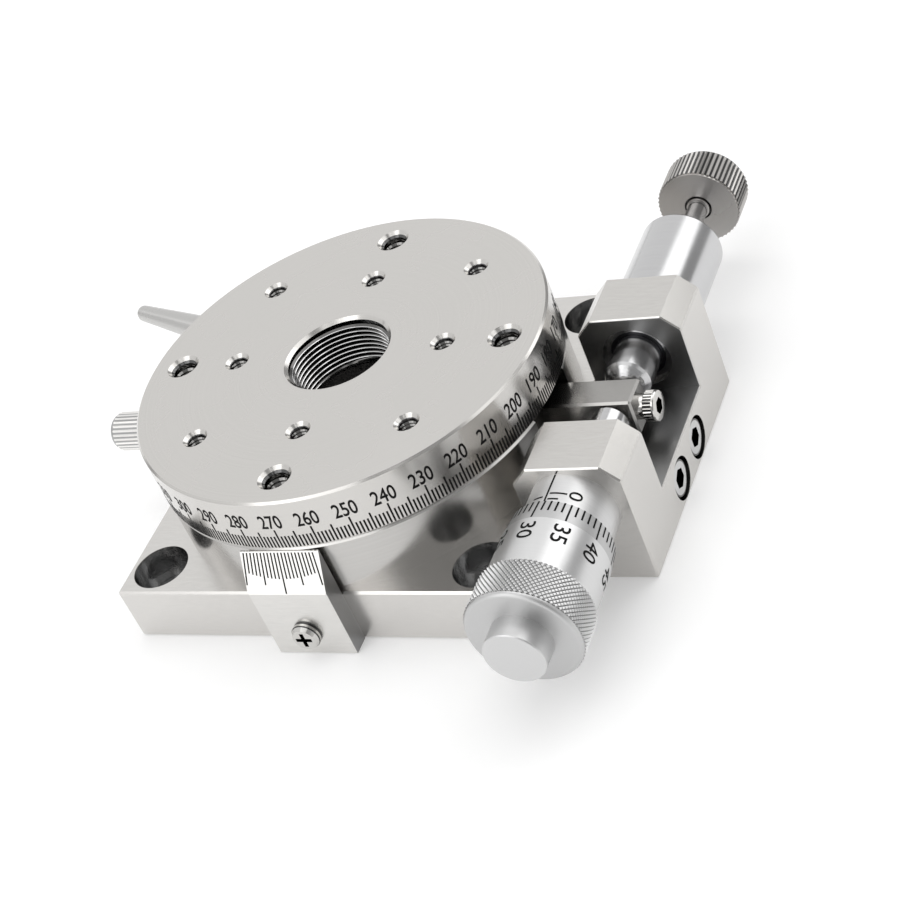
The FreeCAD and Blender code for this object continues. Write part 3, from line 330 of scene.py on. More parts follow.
def plastic(name, colour):
    material, tree, shader = new_material(name)
    cloud = noise(tree, object_place(tree), PLASTIC_CLOUD_SCALE, PLASTIC_CLOUD_DETAIL)
    shade = colour_run(tree, cloud, shaded(colour, PLASTIC_DARKEST), colour)
    tree.links.new(shade, shader.inputs["Base Color"])
    shader.inputs["Roughness"].default_value = PLASTIC_ROUGHNESS
    return material


# Sockets of a colour mix by number, because other kinds of mix have the same names
MIX_FIRST = 6
MIX_SECOND = 7
MIX_RESULT = 2


def refinish(material, where, roughness=None, shade=None):
    """Change the finish where a mask is one: its roughness, and the grey its colour is set to,
    which is mostly painted shade or a painted highlight.
    """
    tree = material.node_tree
    shader = tree.nodes["Principled BSDF"]
    if roughness is not None:
        blend = tree.nodes.new("ShaderNodeMix")
        tree.links.new(where, blend.inputs["Factor"])
        tree.links.new(shader.inputs["Roughness"].links[0].from_socket, blend.inputs["A"])
        blend.inputs["B"].default_value = roughness
        tree.links.new(blend.outputs["Result"], shader.inputs["Roughness"])
    if shade is not None:
        darken = tree.nodes.new("ShaderNodeMix")
        darken.data_type = "RGBA"
        tree.links.new(where, darken.inputs["Factor"])
        tree.links.new(shader.inputs["Base Color"].links[0].from_socket, darken.inputs[MIX_FIRST])
        darken.inputs[MIX_SECOND].default_value = (shade, shade, shade, 1.0)
        tree.links.new(darken.outputs[MIX_RESULT], shader.inputs["Base Color"])
    return material


def recessed(material, lines, radius, axis, sign, level, shade):
    """Paint shade on what lies beyond a level along an axis and near any of the lines, such as
    a recess or the grooves of a knurl."""
    tree = material.node_tree
    where = product(tree, near_lines(tree, lines, radius), beyond(tree, axis, sign, level))
    return refinish(material, where, shade=shade)


# Finishes of single nodes, most of them with painted shade in holes, recesses or sides. A start is
# how far from a face the finish begins.
TABLE_RIM_START = 0.01 * MM
TABLE_RIM_ROUGHNESS = 0.2
TABLE_HOLES_REACH = 29.0 * MM
TABLE_HOLE_START = 0.45 * MM
TABLE_HOLE_ROUGHNESS = 0.1
TABLE_HOLE_PAINTED_SHADE = 0.12


def table_finish():
    """Satin top, a finer rim, and painted shade in the holes, which lie within a distance from the
    axis.
    """
    material = metal("turned_nickel", turned=TURNING_AXIS)
    tree = material.node_tree
    rim = beyond(tree, "Z", -1, TABLE_TOP - TABLE_RIM_START)
    refinish(material, rim, TABLE_RIM_ROUGHNESS)
    inside = near_line(tree, *TURNING_AXIS, TABLE_HOLES_REACH)
    deep = beyond(tree, "Z", -1, TABLE_TOP - TABLE_HOLE_START)
    return refinish(material, product(tree, inside, deep), TABLE_HOLE_ROUGHNESS, TABLE_HOLE_PAINTED_SHADE)


BASE_HOLE_REACH = 25.0 * MM
BASE_HOLE_RADIUS = 4.6 * MM
BASE_HOLE_START = 0.25 * MM
BASE_HOLE_ROUGHNESS = 0.18
BASE_HOLE_PAINTED_SHADE = 0.62
BASE_LEDGE_DEPTH = 5.3 * MM
BASE_LEDGE_START = 0.05 * MM
BASE_LEDGE_PAINTED_SHADE = 0.22


def base_finish():
    """Ground faces, and painted shade in the counterbored holes, darker below the ledge."""
    material = metal("ground_base", stretch=GROUND)
    tree = material.node_tree
    holes = in_corner_holes(tree, BASE_HOLE_REACH, BASE_HOLE_RADIUS)
    deep = beyond(tree, "Z", -1, BASE_TOP - BASE_HOLE_START)
    refinish(material, product(tree, holes, deep), BASE_HOLE_ROUGHNESS, BASE_HOLE_PAINTED_SHADE)
    below = beyond(tree, "Z", -1, BASE_TOP - BASE_LEDGE_DEPTH + BASE_LEDGE_START)
    return refinish(material, product(tree, holes, below), shade=BASE_LEDGE_PAINTED_SHADE)


PLATE_SIDE_START = 0.02 * MM
PLATE_SIDE_ROUGHNESS = 0.35
PLATE_SIDE_PAINTED_SHADE = 0.3


def plate_finish():
    """Ground front and bevels, and painted shade on the rougher side towards the micrometer."""
    material = metal("ground_plate", stretch=GROUND)
    side = beyond(material.node_tree, "X", 1, PLATE_HIGH.x - PLATE_SIDE_START)
    return refinish(material, side, PLATE_SIDE_ROUGHNESS, PLATE_SIDE_PAINTED_SHADE)


NOTCH_REACH = 9.95 * MM
NOTCH_LOW = 7.1 * MM
NOTCH_ROUGHNESS = 0.32
NOTCH_PAINTED_SHADE = 0.3
BRACKET_SINK_RADIUS = 3.0 * MM
BRACKET_SINK_START = 0.05 * MM
SOCKET_PAINTED_SHADE = 0.06


def bracket_finish():
    """Ground faces, a rougher notch with painted shade, and painted shade in the gaps round the
    screw heads.
    """
    material = metal("ground_bracket", stretch=GROUND)
    tree = material.node_tree
    notch = product(tree, beyond(tree, "Y", 1, -NOTCH_REACH), beyond(tree, "Y", -1, NOTCH_REACH),
                    beyond(tree, "Z", 1, NOTCH_LOW))
    refinish(material, notch, NOTCH_ROUGHNESS, NOTCH_PAINTED_SHADE)
    return recessed(material, BRACKET_SCREW_LINES, BRACKET_SINK_RADIUS, "X", -1,
                    BRACKET_FACE - BRACKET_SINK_START, SOCKET_PAINTED_SHADE)


# Radius of a head's face that keeps its own colour; painted shade lies beyond it and in the socket
BRACKET_SCREW_UNSHADED_RADIUS = 2.25 * MM
BRACKET_SOCKET_RADIUS = 1.45 * MM
SOCKET_START = 0.12 * MM


def bracket_screw_finish():
    """Heads in their own colour, with painted shade on their edges and in their sockets."""
    material = metal("socket_screws")
    face = near_lines(material.node_tree, BRACKET_SCREW_LINES, BRACKET_SCREW_UNSHADED_RADIUS)
    refinish(material, face, shade=SCREW_STEEL[0])
    return recessed(material, BRACKET_SCREW_LINES, BRACKET_SOCKET_RADIUS, "X", -1,
                    BRACKET_SCREW_FACE - SOCKET_START, SOCKET_PAINTED_SHADE)


# Bands of painted shade round the head of the vernier's screw, for a groove and for the shadow at
# the plate, as shares of its height from the face
VERNIER_SCREW_SHADE_BANDS = ((0.4, 0.54), (0.8, 1.0))
VERNIER_SCREW_BAND_PAINTED_SHADE = 0.08
CROSS_RECESS_RADIUS = 1.35 * MM
DEEP_RECESS_PAINTED_SHADE = 0.02


def vernier_screw_finish():
    """A bright head with painted shade in two bands round it and in its cross recess."""
    material = metal("cross_screw")
    tree = material.node_tree
    face = VERNIER_SCREW_LOW.y
    height = PLATE_LOW.y - face
    for start, stop in VERNIER_SCREW_SHADE_BANDS:
        shaded_band = product(tree, beyond(tree, "Y", 1, face + start * height),
                         beyond(tree, "Y", -1, face + stop * height))
        refinish(material, shaded_band, shade=VERNIER_SCREW_BAND_PAINTED_SHADE)
    return recessed(material, [VERNIER_SCREW_LINE], CROSS_RECESS_RADIUS, "Y", 1,
                    face + SOCKET_START, DEEP_RECESS_PAINTED_SHADE)


# Materials by the record's slots, and finishes that one node of a slot has for itself
materials = {
    "satin_nickel": metal("satin_nickel", stretch=GROUND),
    "bright_chrome": metal("bright_chrome", turned=DRIVE_LINE),
    "spacer_plastic": plastic("spacer_plastic", SPACER_COLOUR),
}
for plain in ("satin_chrome", "bearing_steel", "bright_screw", "black_steel",
              "spring_steel", "brass_pad"):
    materials[plain] = metal(plain)
own_finish = {
    "rotary_table": table_finish(),
    "base_plate": base_finish(),
    "housing_ring": metal("turned_wall", turned=TURNING_AXIS),
    "table_hub": metal("turned_hub", turned=TURNING_AXIS),
    "lock_lever": metal("turned_lever"),
    "micrometer_bracket": bracket_finish(),
    "vernier_plate": plate_finish(),
    "tangent_arm": metal("ground_arm"),
    "plunger_rod": metal("turned_rod", turned=DRIVE_LINE),
    "micrometer_sleeve": metal("turned_sleeve", turned=DRIVE_LINE),
    "thimble_cap": metal("turned_cap", grain_depth=0.005, tint=0.01, turned=DRIVE_LINE),
    "bracket_screws": bracket_screw_finish(),
    "vernier_screw": vernier_screw_finish(),
}
INK_BLACK = ink()


def dress_cad_nodes():
    """Give every node of the frame its own finish, or else its slot's material."""
    for part in frame["record"]["subparts"]:
        node = frame["nodes"][part["node"]]
        meshes = [node] if node.type == "MESH" else [c for c in node.children if c.type == "MESH"]
        finish = own_finish.get(part["node"], materials[part["material_slot"]])
        for piece in meshes:
            for slot in piece.material_slots:
                slot.material = finish


# Mesh helpers

def mesh_piece(name, points, faces, body, material):
    mesh = bpy.data.meshes.new(name)
    mesh.from_pydata([tuple(p) for p in points], [], faces)
    mesh.validate()
    mesh.materials.append(material)
    piece = bpy.data.objects.new(name, mesh)
    bpy.context.collection.objects.link(piece)
    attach(piece, body)
    return piece


def on_table_rim(along, up):
    """A mark's point on the table's rim, by its angle and its height from the rim's foot."""
    radius = TABLE_RADIUS + INK
    return Vector((radius * math.cos(along), radius * math.sin(along), TABLE_FOOT + up))


def on_drive(radius, angle, y):
    """A point about the drive line: angle runs from +X over the top."""
    return Vector((DRIVE_X + radius * math.cos(angle), y, DRIVE_Z + radius * math.sin(angle)))


def about_x(x, middle_y, middle_z, radius, angle):
    """A point about a line along X: angle runs from +Y over the top."""
    return Vector((x, middle_y + radius * math.cos(angle), middle_z + radius * math.sin(angle)))


def strip(points, faces, corner, steps=1):
    """Add a strip of quads: corner(t, side) gives its two edges as t runs from 0 to 1."""
    first = len(points)
    for step in range(steps + 1):
        points.append(corner(step / steps, 0))
        points.append(corner(step / steps, 1))
    for step in range(steps):
        k = first + 2 * step
        faces.append((k, k + 2, k + 3, k + 1))


# Figures: the cosine at which their fattened corners stop growing, the steps of their curves,
# and the places of the cuts that let them bend
BLUNT_CORNER = 0.6
FIGURE_SMOOTHNESS = 4
FIGURE_CUTS = [0.15 * MM * step for step in range(1, 15)]

# Every fifth mark is longer, and numbered on the micrometer
MARK_GROUP = 5


def outward(edge):
    """The direction across a boundary edge of a flat shape and away from its face."""
    start, end = (vert.co for vert in edge.verts)
    across = (end - start).cross(Vector(ALONG_Z)).normalized()
    inside = edge.link_faces[0].calc_center_median() - start
    return -across if inside.dot(across) > 0 else across


def fatten(shape, stroke):
    """Move the outlines of a flat shape outward by the stroke, with blunt corners."""
    shifts = []
    for vert in shape.verts:
        ways = [outward(edge) for edge in vert.link_edges if edge.is_boundary]
        if len(ways) == 2:
            middle = (ways[0] + ways[1]).normalized()
            shifts.append((vert, middle * stroke / max(middle.dot(ways[0]), BLUNT_CORNER)))
    for vert, shift in shifts:
        vert.co += shift


def glyphs(text, height, width, stroke, cuts):
    """Flat outlines of figures as (points, faces): centred sideways, with the baseline at zero.
    Each figure is as high and as wide as told, and its lines are fattened by the stroke.
    Cuts across the text let it bend round."""
    curve = bpy.data.curves.new("glyphs", "FONT")
    curve.body = text
    curve.align_x = "CENTER"
    curve.resolution_u = FIGURE_SMOOTHNESS
    holder = bpy.data.objects.new("glyphs", curve)
    bpy.context.collection.objects.link(holder)
    bpy.context.view_layer.update()
    mesh = bpy.data.meshes.new_from_object(holder)
    shape = bmesh.new()
    shape.from_mesh(mesh)
    fatten(shape, stroke)
    low = min(v.co.y for v in shape.verts)
    natural_height = max(v.co.y for v in shape.verts) - low
    left = min(v.co.x for v in shape.verts)
    right = max(v.co.x for v in shape.verts)
    for vert in shape.verts:
        vert.co.x = (vert.co.x - (left + right) / 2) * width * len(text) / (right - left)
        vert.co.y = (vert.co.y - low) * height / natural_height
    for place in cuts:
        everything = list(shape.verts) + list(shape.edges) + list(shape.faces)
        bmesh.ops.bisect_plane(shape, geom=everything, plane_co=(0, place, 0), plane_no=ALONG_Y)
    shape.verts.index_update()
    points = [v.co.copy() for v in shape.verts]
    faces = [[v.index for v in face.verts] for face in shape.faces]
    shape.free()
    bpy.data.objects.remove(holder)
    bpy.data.curves.remove(curve)
    bpy.data.meshes.remove(mesh)
    return points, faces


def add_glyphs(points, faces, text, size, place, cuts=()):
    """Add a text of figures of a (height, width, stroke) that place bends onto a surface."""
    flat, loops = glyphs(text, *size, cuts)
    first = len(points)
    for point in flat:
        points.append(place(point.x, point.y))
    for loop in loops:
        faces.append([first + index for index in loop])


# Degree scale round the table, whose marks get longer every 5 and 10 degrees
DIAL_ZERO = math.radians(182.1)
DIAL_TICK_WIDTH = 0.25 * MM
DIAL_TICK_FOOT = 0.35 * MM
DIAL_TICK_TOPS = {10: 3.42 * MM, 5: 3.05 * MM, 1: 2.28 * MM}
DIAL_FIGURE_STEP = 10
DIAL_FIGURE_SIZE = (2.3 * MM, 1.07 * MM, 0.014)
DIAL_FIGURE_FOOT = 3.65 * MM


def make_dial_scale():
    points = []
    faces = []
    half = DIAL_TICK_WIDTH / 2 / TABLE_RADIUS
    for degree in range(360):
        angle = DIAL_ZERO - math.radians(degree)
        top = next(DIAL_TICK_TOPS[step] for step in DIAL_TICK_TOPS if degree % step == 0)

        def corner(t, side):
            up = DIAL_TICK_FOOT + t * (top - DIAL_TICK_FOOT)
            return on_table_rim(angle + (-half if side else half), up)

        strip(points, faces, corner)
        if degree % DIAL_FIGURE_STEP == 0:
            def place(across, up):
                return on_table_rim(angle + across / TABLE_RADIUS, DIAL_FIGURE_FOOT + up)

            add_glyphs(points, faces, str(degree), DIAL_FIGURE_SIZE, place)
    mesh_piece("dial_scale", points, faces, "table", INK_BLACK)


# Vernier lines on the plate's bevel, which fan out and lean a little on their way down
VERNIER_LINES_EACH_SIDE = 10
VERNIER_TOP_MIDDLE = 0.02 * MM
VERNIER_FOOT_MIDDLE = 0.27 * MM
VERNIER_TOP_STEP = 0.526 * MM
VERNIER_FOOT_STEP = 0.593 * MM
VERNIER_LINE_WIDTH = 0.22 * MM
VERNIER_LONG = 5.65 * MM
VERNIER_MEDIUM = 4.45 * MM
VERNIER_SHORT = 3.62 * MM
VERNIER_SHORT_DROP = 0.97 * MM
VERNIER_EDGE = 0.2 * MM
BEVEL_SET_BACK = 0.2 * MM
BEVEL_FOOT_Z = 11.2 * MM


def make_vernier_scale():
    """Lines run down the bevel from its top edge, the short ones less far at the sides."""
    top = Vector((0, PLATE_HIGH.y - BEVEL_SET_BACK, PLATE_HIGH.z))
    foot = Vector((0, PLATE_LOW.y, BEVEL_FOOT_Z))
    slope = (foot - top).length
    down = (foot - top).normalized()
    out = Vector((0, down.z, -down.y))
    points = []
    faces = []
    for line in range(-VERNIER_LINES_EACH_SIDE, VERNIER_LINES_EACH_SIDE + 1):
        length = VERNIER_SHORT - VERNIER_SHORT_DROP * (line / VERNIER_LINES_EACH_SIDE) ** 2
        if line % MARK_GROUP == 0:
            length = VERNIER_MEDIUM
        if line == 0:
            length = VERNIER_LONG

        def corner(t, side):
            run = VERNIER_EDGE + t * length
            share = run / slope
            middle = (1 - share) * VERNIER_TOP_MIDDLE + share * VERNIER_FOOT_MIDDLE
            step = (1 - share) * VERNIER_TOP_STEP + share * VERNIER_FOOT_STEP
            across = middle + line * step + (VERNIER_LINE_WIDTH / 2) * (1 if side else -1)
            return top + down * run + out * INK + Vector((across, 0, 0))

        strip(points, faces, corner)
    mesh_piece("vernier_scale", points, faces, "base", INK_BLACK)


# Sleeve scale: whole millimetres right of the datum line and halves left of it
DATUM_ANGLE = math.radians(98.0)
SLEEVE_MARKS = 11
SLEEVE_ZERO_Y = -22.5 * MM
SLEEVE_LINE_START = -19.1 * MM
SLEEVE_LINE_END = -32.8 * MM
SLEEVE_LINE_WIDTH = 0.27 * MM
SLEEVE_ARC_STEPS = 12
SLEEVE_RIGHT_START = math.radians(94.8)
SLEEVE_RIGHT_LONG_END = math.radians(72.5)
SLEEVE_RIGHT_SHORT_END = math.radians(81.0)
SLEEVE_LEFT = (math.radians(103.0), math.radians(117.0))
SLEEVE_FIGURE_SIZE = (1.75 * MM, 1.42 * MM, 0.006)
SLEEVE_FIGURE_GAP = 0.25 * MM


def sleeve_arc(points, faces, y, start, end):
    def corner(t, side):
        across = y + (SLEEVE_LINE_WIDTH / 2) * (1 if side else -1)
        return on_drive(SLEEVE_RADIUS + INK, start + t * (end - start), across)

    strip(points, faces, corner, SLEEVE_ARC_STEPS)


def make_sleeve_scale():
    points = []
    faces = []

    def datum(t, side):
        half = SLEEVE_LINE_WIDTH / 2 / SLEEVE_RADIUS
        y = SLEEVE_LINE_START + t * (SLEEVE_LINE_END - SLEEVE_LINE_START)
        return on_drive(SLEEVE_RADIUS + INK, DATUM_ANGLE + (half if side else -half), y)

    strip(points, faces, datum)
    for mark in range(SLEEVE_MARKS):
        y = SLEEVE_ZERO_Y - mark * MM
        if y < SLEEVE_LINE_END:
            continue
        numbered = mark % MARK_GROUP == 0
        end = SLEEVE_RIGHT_LONG_END if numbered else SLEEVE_RIGHT_SHORT_END
        sleeve_arc(points, faces, y, SLEEVE_RIGHT_START, end)
        if y - MM / 2 > SLEEVE_LINE_END:
            sleeve_arc(points, faces, y - MM / 2, *SLEEVE_LEFT)
        if numbered:
            def place(across, up):
                angle = SLEEVE_RIGHT_LONG_END - (up + SLEEVE_FIGURE_GAP) / SLEEVE_RADIUS
                return on_drive(SLEEVE_RADIUS + INK, angle, y + across)

            add_glyphs(points, faces, str(mark), SLEEVE_FIGURE_SIZE, place, FIGURE_CUTS)
    mesh_piece("sleeve_scale", points, faces, "base", INK_BLACK)


# Drum scale of the thimble, on its bevel and the plain part behind
DRUM_DIVISIONS = 50
DRUM_REFERENCE_VALUE = 35
DRUM_REFERENCE_ANGLE = math.radians(61.14)
DRUM_BEVEL_RADII = (6.76 * MM, 7.06 * MM)
DRUM_BEVEL_LENGTH = 3.1 * MM
DRUM_SHORT = 1.76 * MM
DRUM_LONG = 3.01 * MM
DRUM_LINE_WIDTH = 0.25 * MM
DRUM_LINE_STEPS = 4
DRUM_FIGURE_SIZE = (2.12 * MM, 1.41 * MM, 0.008)
DRUM_FIGURE_START = 3.78 * MM


def drum_radius(run):
    """Outer radius of the thimble's scale, run being the distance from its front edge."""
    share = min(run / DRUM_BEVEL_LENGTH, 1.0)
    return DRUM_BEVEL_RADII[0] + share * (DRUM_BEVEL_RADII[1] - DRUM_BEVEL_RADII[0])


def make_drum_scale():
    points = []
    faces = []
    step_angle = 2 * math.pi / DRUM_DIVISIONS
    height, width = DRUM_FIGURE_SIZE[:2]
    for value in range(DRUM_DIVISIONS):
        angle = DRUM_REFERENCE_ANGLE - (value - DRUM_REFERENCE_VALUE) * step_angle
        numbered = value % MARK_GROUP == 0
        length = DRUM_LONG if numbered else DRUM_SHORT

        def corner(t, side):
            run = t * length
            half = DRUM_LINE_WIDTH / 2 / drum_radius(run)
            turn = angle + (half if side else -half)
            return on_drive(drum_radius(run) + INK, turn, THIMBLE_FRONT - run)

        strip(points, faces, corner, DRUM_LINE_STEPS)
        if numbered:
            figures = str(value)

            def place(across, up):
                run = DRUM_FIGURE_START + width * len(figures) / 2 + across
                turn = angle - (up - height / 2) / drum_radius(run)
                return on_drive(drum_radius(run) + INK, turn, THIMBLE_FRONT - run)

            add_glyphs(points, faces, figures, DRUM_FIGURE_SIZE, place, FIGURE_CUTS)
    mesh_piece("drum_scale", points, faces, "thimble_assembly", INK_BLACK)


# Turned pieces with knurls. A ring of radius AXIS_HOLE closes a flat end but for a pinhole.
AXIS_HOLE = 0.02 * MM
ROUND_STEPS = 6
SHARP_ANGLE = 28.0
SAME_POINT = 1e-7


def turn_rings(points, faces, rings, count, place):
    """Skin rings of points: each is (place along the axis, radius or its function of point k)."""
    first = len(points)
    for along, radius in rings:
        for k in range(count):
            reach = radius(k) if callable(radius) else radius
            points.append(place(reach, 2 * math.pi * k / count, along))
    for ring in range(len(rings) - 1):
        for k in range(count):
            a = first + ring * count + k
            b = first + ring * count + (k + 1) % count
            faces.append((a, b, b + count, a + count))


def straight_knurl(outer, depth):
    return lambda k: outer - (depth if k % 2 else 0.0)


def rounded_end(start, outer, round_radius):
    """Rings of a quarter round that begins at a start along the axis."""
    rings = []
    for step in range(ROUND_STEPS + 1):
        angle = math.radians(90 * step / ROUND_STEPS)
        rings.append((start + round_radius * math.sin(angle),
                      outer - round_radius * (1 - math.cos(angle))))
    return rings


def finish_turned(piece, sharp_angle=SHARP_ANGLE):
    """Smooth the turned faces and keep edges and knurls sharp."""
    shape = bmesh.new()
    shape.from_mesh(piece.data)
    bmesh.ops.remove_doubles(shape, verts=shape.verts, dist=SAME_POINT)
    bmesh.ops.recalc_face_normals(shape, faces=shape.faces)
    limit = math.radians(sharp_angle)
    for face in shape.faces:
        face.smooth = True
    for edge in shape.edges:
        if len(edge.link_faces) == 2 and edge.calc_face_angle(0.0) > limit:
            edge.smooth = False
    shape.to_mesh(piece.data)
    shape.free()


# Thimble. Two rings just before and after the bevel's end keep its edge crisp.
THIMBLE_BORE = 5.95 * MM
THIMBLE_TAIL_BORE = 2.05 * MM
THIMBLE_FLOOR = 3.0 * MM
THIMBLE_PLAIN_END = 10.5 * MM
THIMBLE_FRONT_CHAMFER = 0.05 * MM
THIMBLE_ROUND = 0.6 * MM
BEVEL_END_GAP = 0.02 * MM
KNURL_EDGE = 0.15 * MM
DIAMONDS_ROUND = 72
DIAMOND_DEPTH = 0.28 * MM
DIAMOND_GROOVE = 0.75 * DIAMOND_DEPTH
# Grey levels painted on the thimble: shade on the bevel, a sheen on the knurl, shade in its
# grooves and on the rounded back
DRUM_BEVEL_ROUGHNESS = 0.42
DRUM_BEVEL_PAINTED_SHADE = 0.52
KNURL_ROUGHNESS = 0.3
KNURL_PAINTED_SHEEN = 0.8
KNURL_GROOVE_PAINTED_SHADE = 0.35
THIMBLE_BACK_ROUGHNESS = 0.4
THIMBLE_BACK_PAINTED_SHADE = 0.54


def diamond_knurl(points, faces, count, start, stop, place):
    """Rows of points of which every second one is sunk, so that the grooves cross there."""
    rows = 2 * round((stop - start) / (2 * math.pi * KNURL_RADIUS / DIAMONDS_ROUND))
    first = len(points)
    for row in range(rows + 1):
        edge = KNURL_EDGE if row == 0 else 0.0
        along = start + (stop - start) * row / rows
        for k in range(count):
            low = DIAMOND_DEPTH if (row + k) % 2 == 0 else 0.0
            points.append(place(KNURL_RADIUS - low - edge, 2 * math.pi * k / count, along))
    for row in range(rows):
        for k in range(count):
            a = first + row * count + k
            b = first + row * count + (k + 1) % count
            c = b + count
            d = a + count
            if (row + k) % 2 == 0:
                faces += [(a, b, c), (a, c, d)]
            else:
                faces += [(a, b, d), (b, c, d)]


def thimble_finish():
    """Satin on the plain part, a duller bevel with painted shade, a painted sheen on the knurl
    with painted shade in its grooves, and painted shade on the rounded back.
    """
    material = metal("turned_chrome", grain_depth=0.006, tint=0.012, turned=DRIVE_LINE)
    tree = material.node_tree
    bevel = beyond(tree, "Y", 1, THIMBLE_FRONT - DRUM_BEVEL_LENGTH)
    refinish(material, bevel, DRUM_BEVEL_ROUGHNESS, DRUM_BEVEL_PAINTED_SHADE)
    knurl = beyond(tree, "Y", -1, THIMBLE_FRONT - THIMBLE_PLAIN_END)
    refinish(material, knurl, KNURL_ROUGHNESS, KNURL_PAINTED_SHEEN)
    low = near_line(tree, *DRIVE_LINE, KNURL_RADIUS - DIAMOND_GROOVE)
    ahead = beyond(tree, "Y", 1, THIMBLE_BACK + THIMBLE_ROUND)
    refinish(material, product(tree, knurl, ahead, low), shade=KNURL_GROOVE_PAINTED_SHADE)
    back = beyond(tree, "Y", -1, THIMBLE_BACK + THIMBLE_ROUND)
    return refinish(material, back, THIMBLE_BACK_ROUGHNESS, THIMBLE_BACK_PAINTED_SHADE)


def make_thimble():
    """Bore, bevel and plain part from the front, then the diamond knurl, then the back."""
    points = []
    faces = []
    count = 2 * DIAMONDS_ROUND
    end = THIMBLE_FRONT - THIMBLE_BACK
    stop = end - THIMBLE_ROUND
    bevel_front, bevel_back = DRUM_BEVEL_RADII
    bevel_end = DRUM_BEVEL_LENGTH - BEVEL_END_GAP

    def place(radius, angle, along):
        return on_drive(radius, angle, THIMBLE_FRONT - along)

    front = [
        (end - THIMBLE_FLOOR, THIMBLE_BORE),
        (0.0, THIMBLE_BORE),
        (0.0, bevel_front - THIMBLE_FRONT_CHAMFER),
        (THIMBLE_FRONT_CHAMFER, bevel_front),
        (bevel_end, drum_radius(bevel_end)),
        (DRUM_BEVEL_LENGTH + BEVEL_END_GAP, bevel_back),
        (THIMBLE_PLAIN_END, bevel_back),
        (THIMBLE_PLAIN_END, KNURL_RADIUS - KNURL_EDGE - DIAMOND_DEPTH),
    ]
    turn_rings(points, faces, front, count, place)
    diamond_knurl(points, faces, count, THIMBLE_PLAIN_END, stop, place)
    back = rounded_end(stop, KNURL_RADIUS - DIAMOND_DEPTH / 2, THIMBLE_ROUND)
    back += [
        (end, THIMBLE_TAIL_BORE),
        (end - THIMBLE_FLOOR, THIMBLE_TAIL_BORE),
        (end - THIMBLE_FLOOR, THIMBLE_BORE),
    ]
    turn_rings(points, faces, back, count, place)
    piece = mesh_piece("thimble_knurled", points, faces, "thimble_assembly",
                       thimble_finish())
    finish_turned(piece)
    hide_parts("thimble")


# Plunger's knob
KNOB_TEETH = 52
KNOB_DEPTH = 0.26 * MM
KNOB_GROOVE = 0.55 * KNOB_DEPTH
KNOB_GROOVE_PAINTED_SHADE = 0.08
KNOB_CHAMFER = 0.27 * MM
KNOB_BOSS = 1.72 * MM
KNOB_BOSS_RISE = 0.3 * MM
KNOB_BOSS_ROUND = 0.2 * MM
KNOB_RECESS = 2.0 * MM
KNOB_RECESS_DEPTH = 0.5 * MM
KNOB_SOCKET = 1.17 * MM
KNOB_SOCKET_DEPTH = 3.8 * MM


def make_plunger_knob():
    """Socket, boss and recess in the outer face, then the straight knurl, along the drive line."""
    points = []
    faces = []
    outer = (KNOB_HIGH.x - KNOB_LOW.x) / 2
    face = KNOB_LOW.y + KNOB_BOSS_RISE
    length = KNOB_HIGH.y - face

    def place(radius, angle, along):
        return on_drive(radius, angle, face + along)

    rings = [
        (KNOB_SOCKET_DEPTH, AXIS_HOLE),
        (KNOB_SOCKET_DEPTH, KNOB_SOCKET),
        (-KNOB_BOSS_RISE, KNOB_SOCKET),
        (-KNOB_BOSS_RISE, KNOB_BOSS - KNOB_BOSS_ROUND),
        (KNOB_BOSS_ROUND / 3 - KNOB_BOSS_RISE, KNOB_BOSS - KNOB_BOSS_ROUND / 3),
        (KNOB_BOSS_ROUND - KNOB_BOSS_RISE, KNOB_BOSS),
        (KNOB_RECESS_DEPTH, KNOB_BOSS),
        (KNOB_RECESS_DEPTH, KNOB_RECESS),
        (0.0, KNOB_RECESS),
        (0.0, outer - KNOB_CHAMFER),
        (KNOB_CHAMFER, outer - KNOB_DEPTH),
        (KNOB_CHAMFER, straight_knurl(outer, KNOB_DEPTH)),
        (length - KNOB_CHAMFER, straight_knurl(outer, KNOB_DEPTH)),
        (length - KNOB_CHAMFER, outer - KNOB_DEPTH),
        (length, outer - KNOB_CHAMFER),
        (length, AXIS_HOLE),
    ]
    turn_rings(points, faces, rings, 2 * KNOB_TEETH, place)
    # Painted shade in the grooves of the knurl
    finish = recessed(metal("turned_steel", turned=DRIVE_LINE), [DRIVE_LINE],
                      outer - KNOB_GROOVE, "Y", 1, face + KNOB_CHAMFER, KNOB_GROOVE_PAINTED_SHADE)
    piece = mesh_piece("plunger_knob_knurled", points, faces, "plunger", finish)
    finish_turned(piece)
    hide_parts("plunger_knob")


# Clamp screw
CLAMP_TEETH = 26
CLAMP_DEPTH = 0.2 * MM
CLAMP_GROOVE = 0.6 * CLAMP_DEPTH
CLAMP_GROOVE_PAINTED_SHADE = 0.4
CLAMP_SHANK = 1.45 * MM
CLAMP_TIP_CHAMFER = 0.1 * MM
CLAMP_HEAD_LENGTH = 6.9 * MM
CLAMP_HEAD_CHAMFER = 0.3 * MM
CLAMP_ROUND = 0.9 * MM


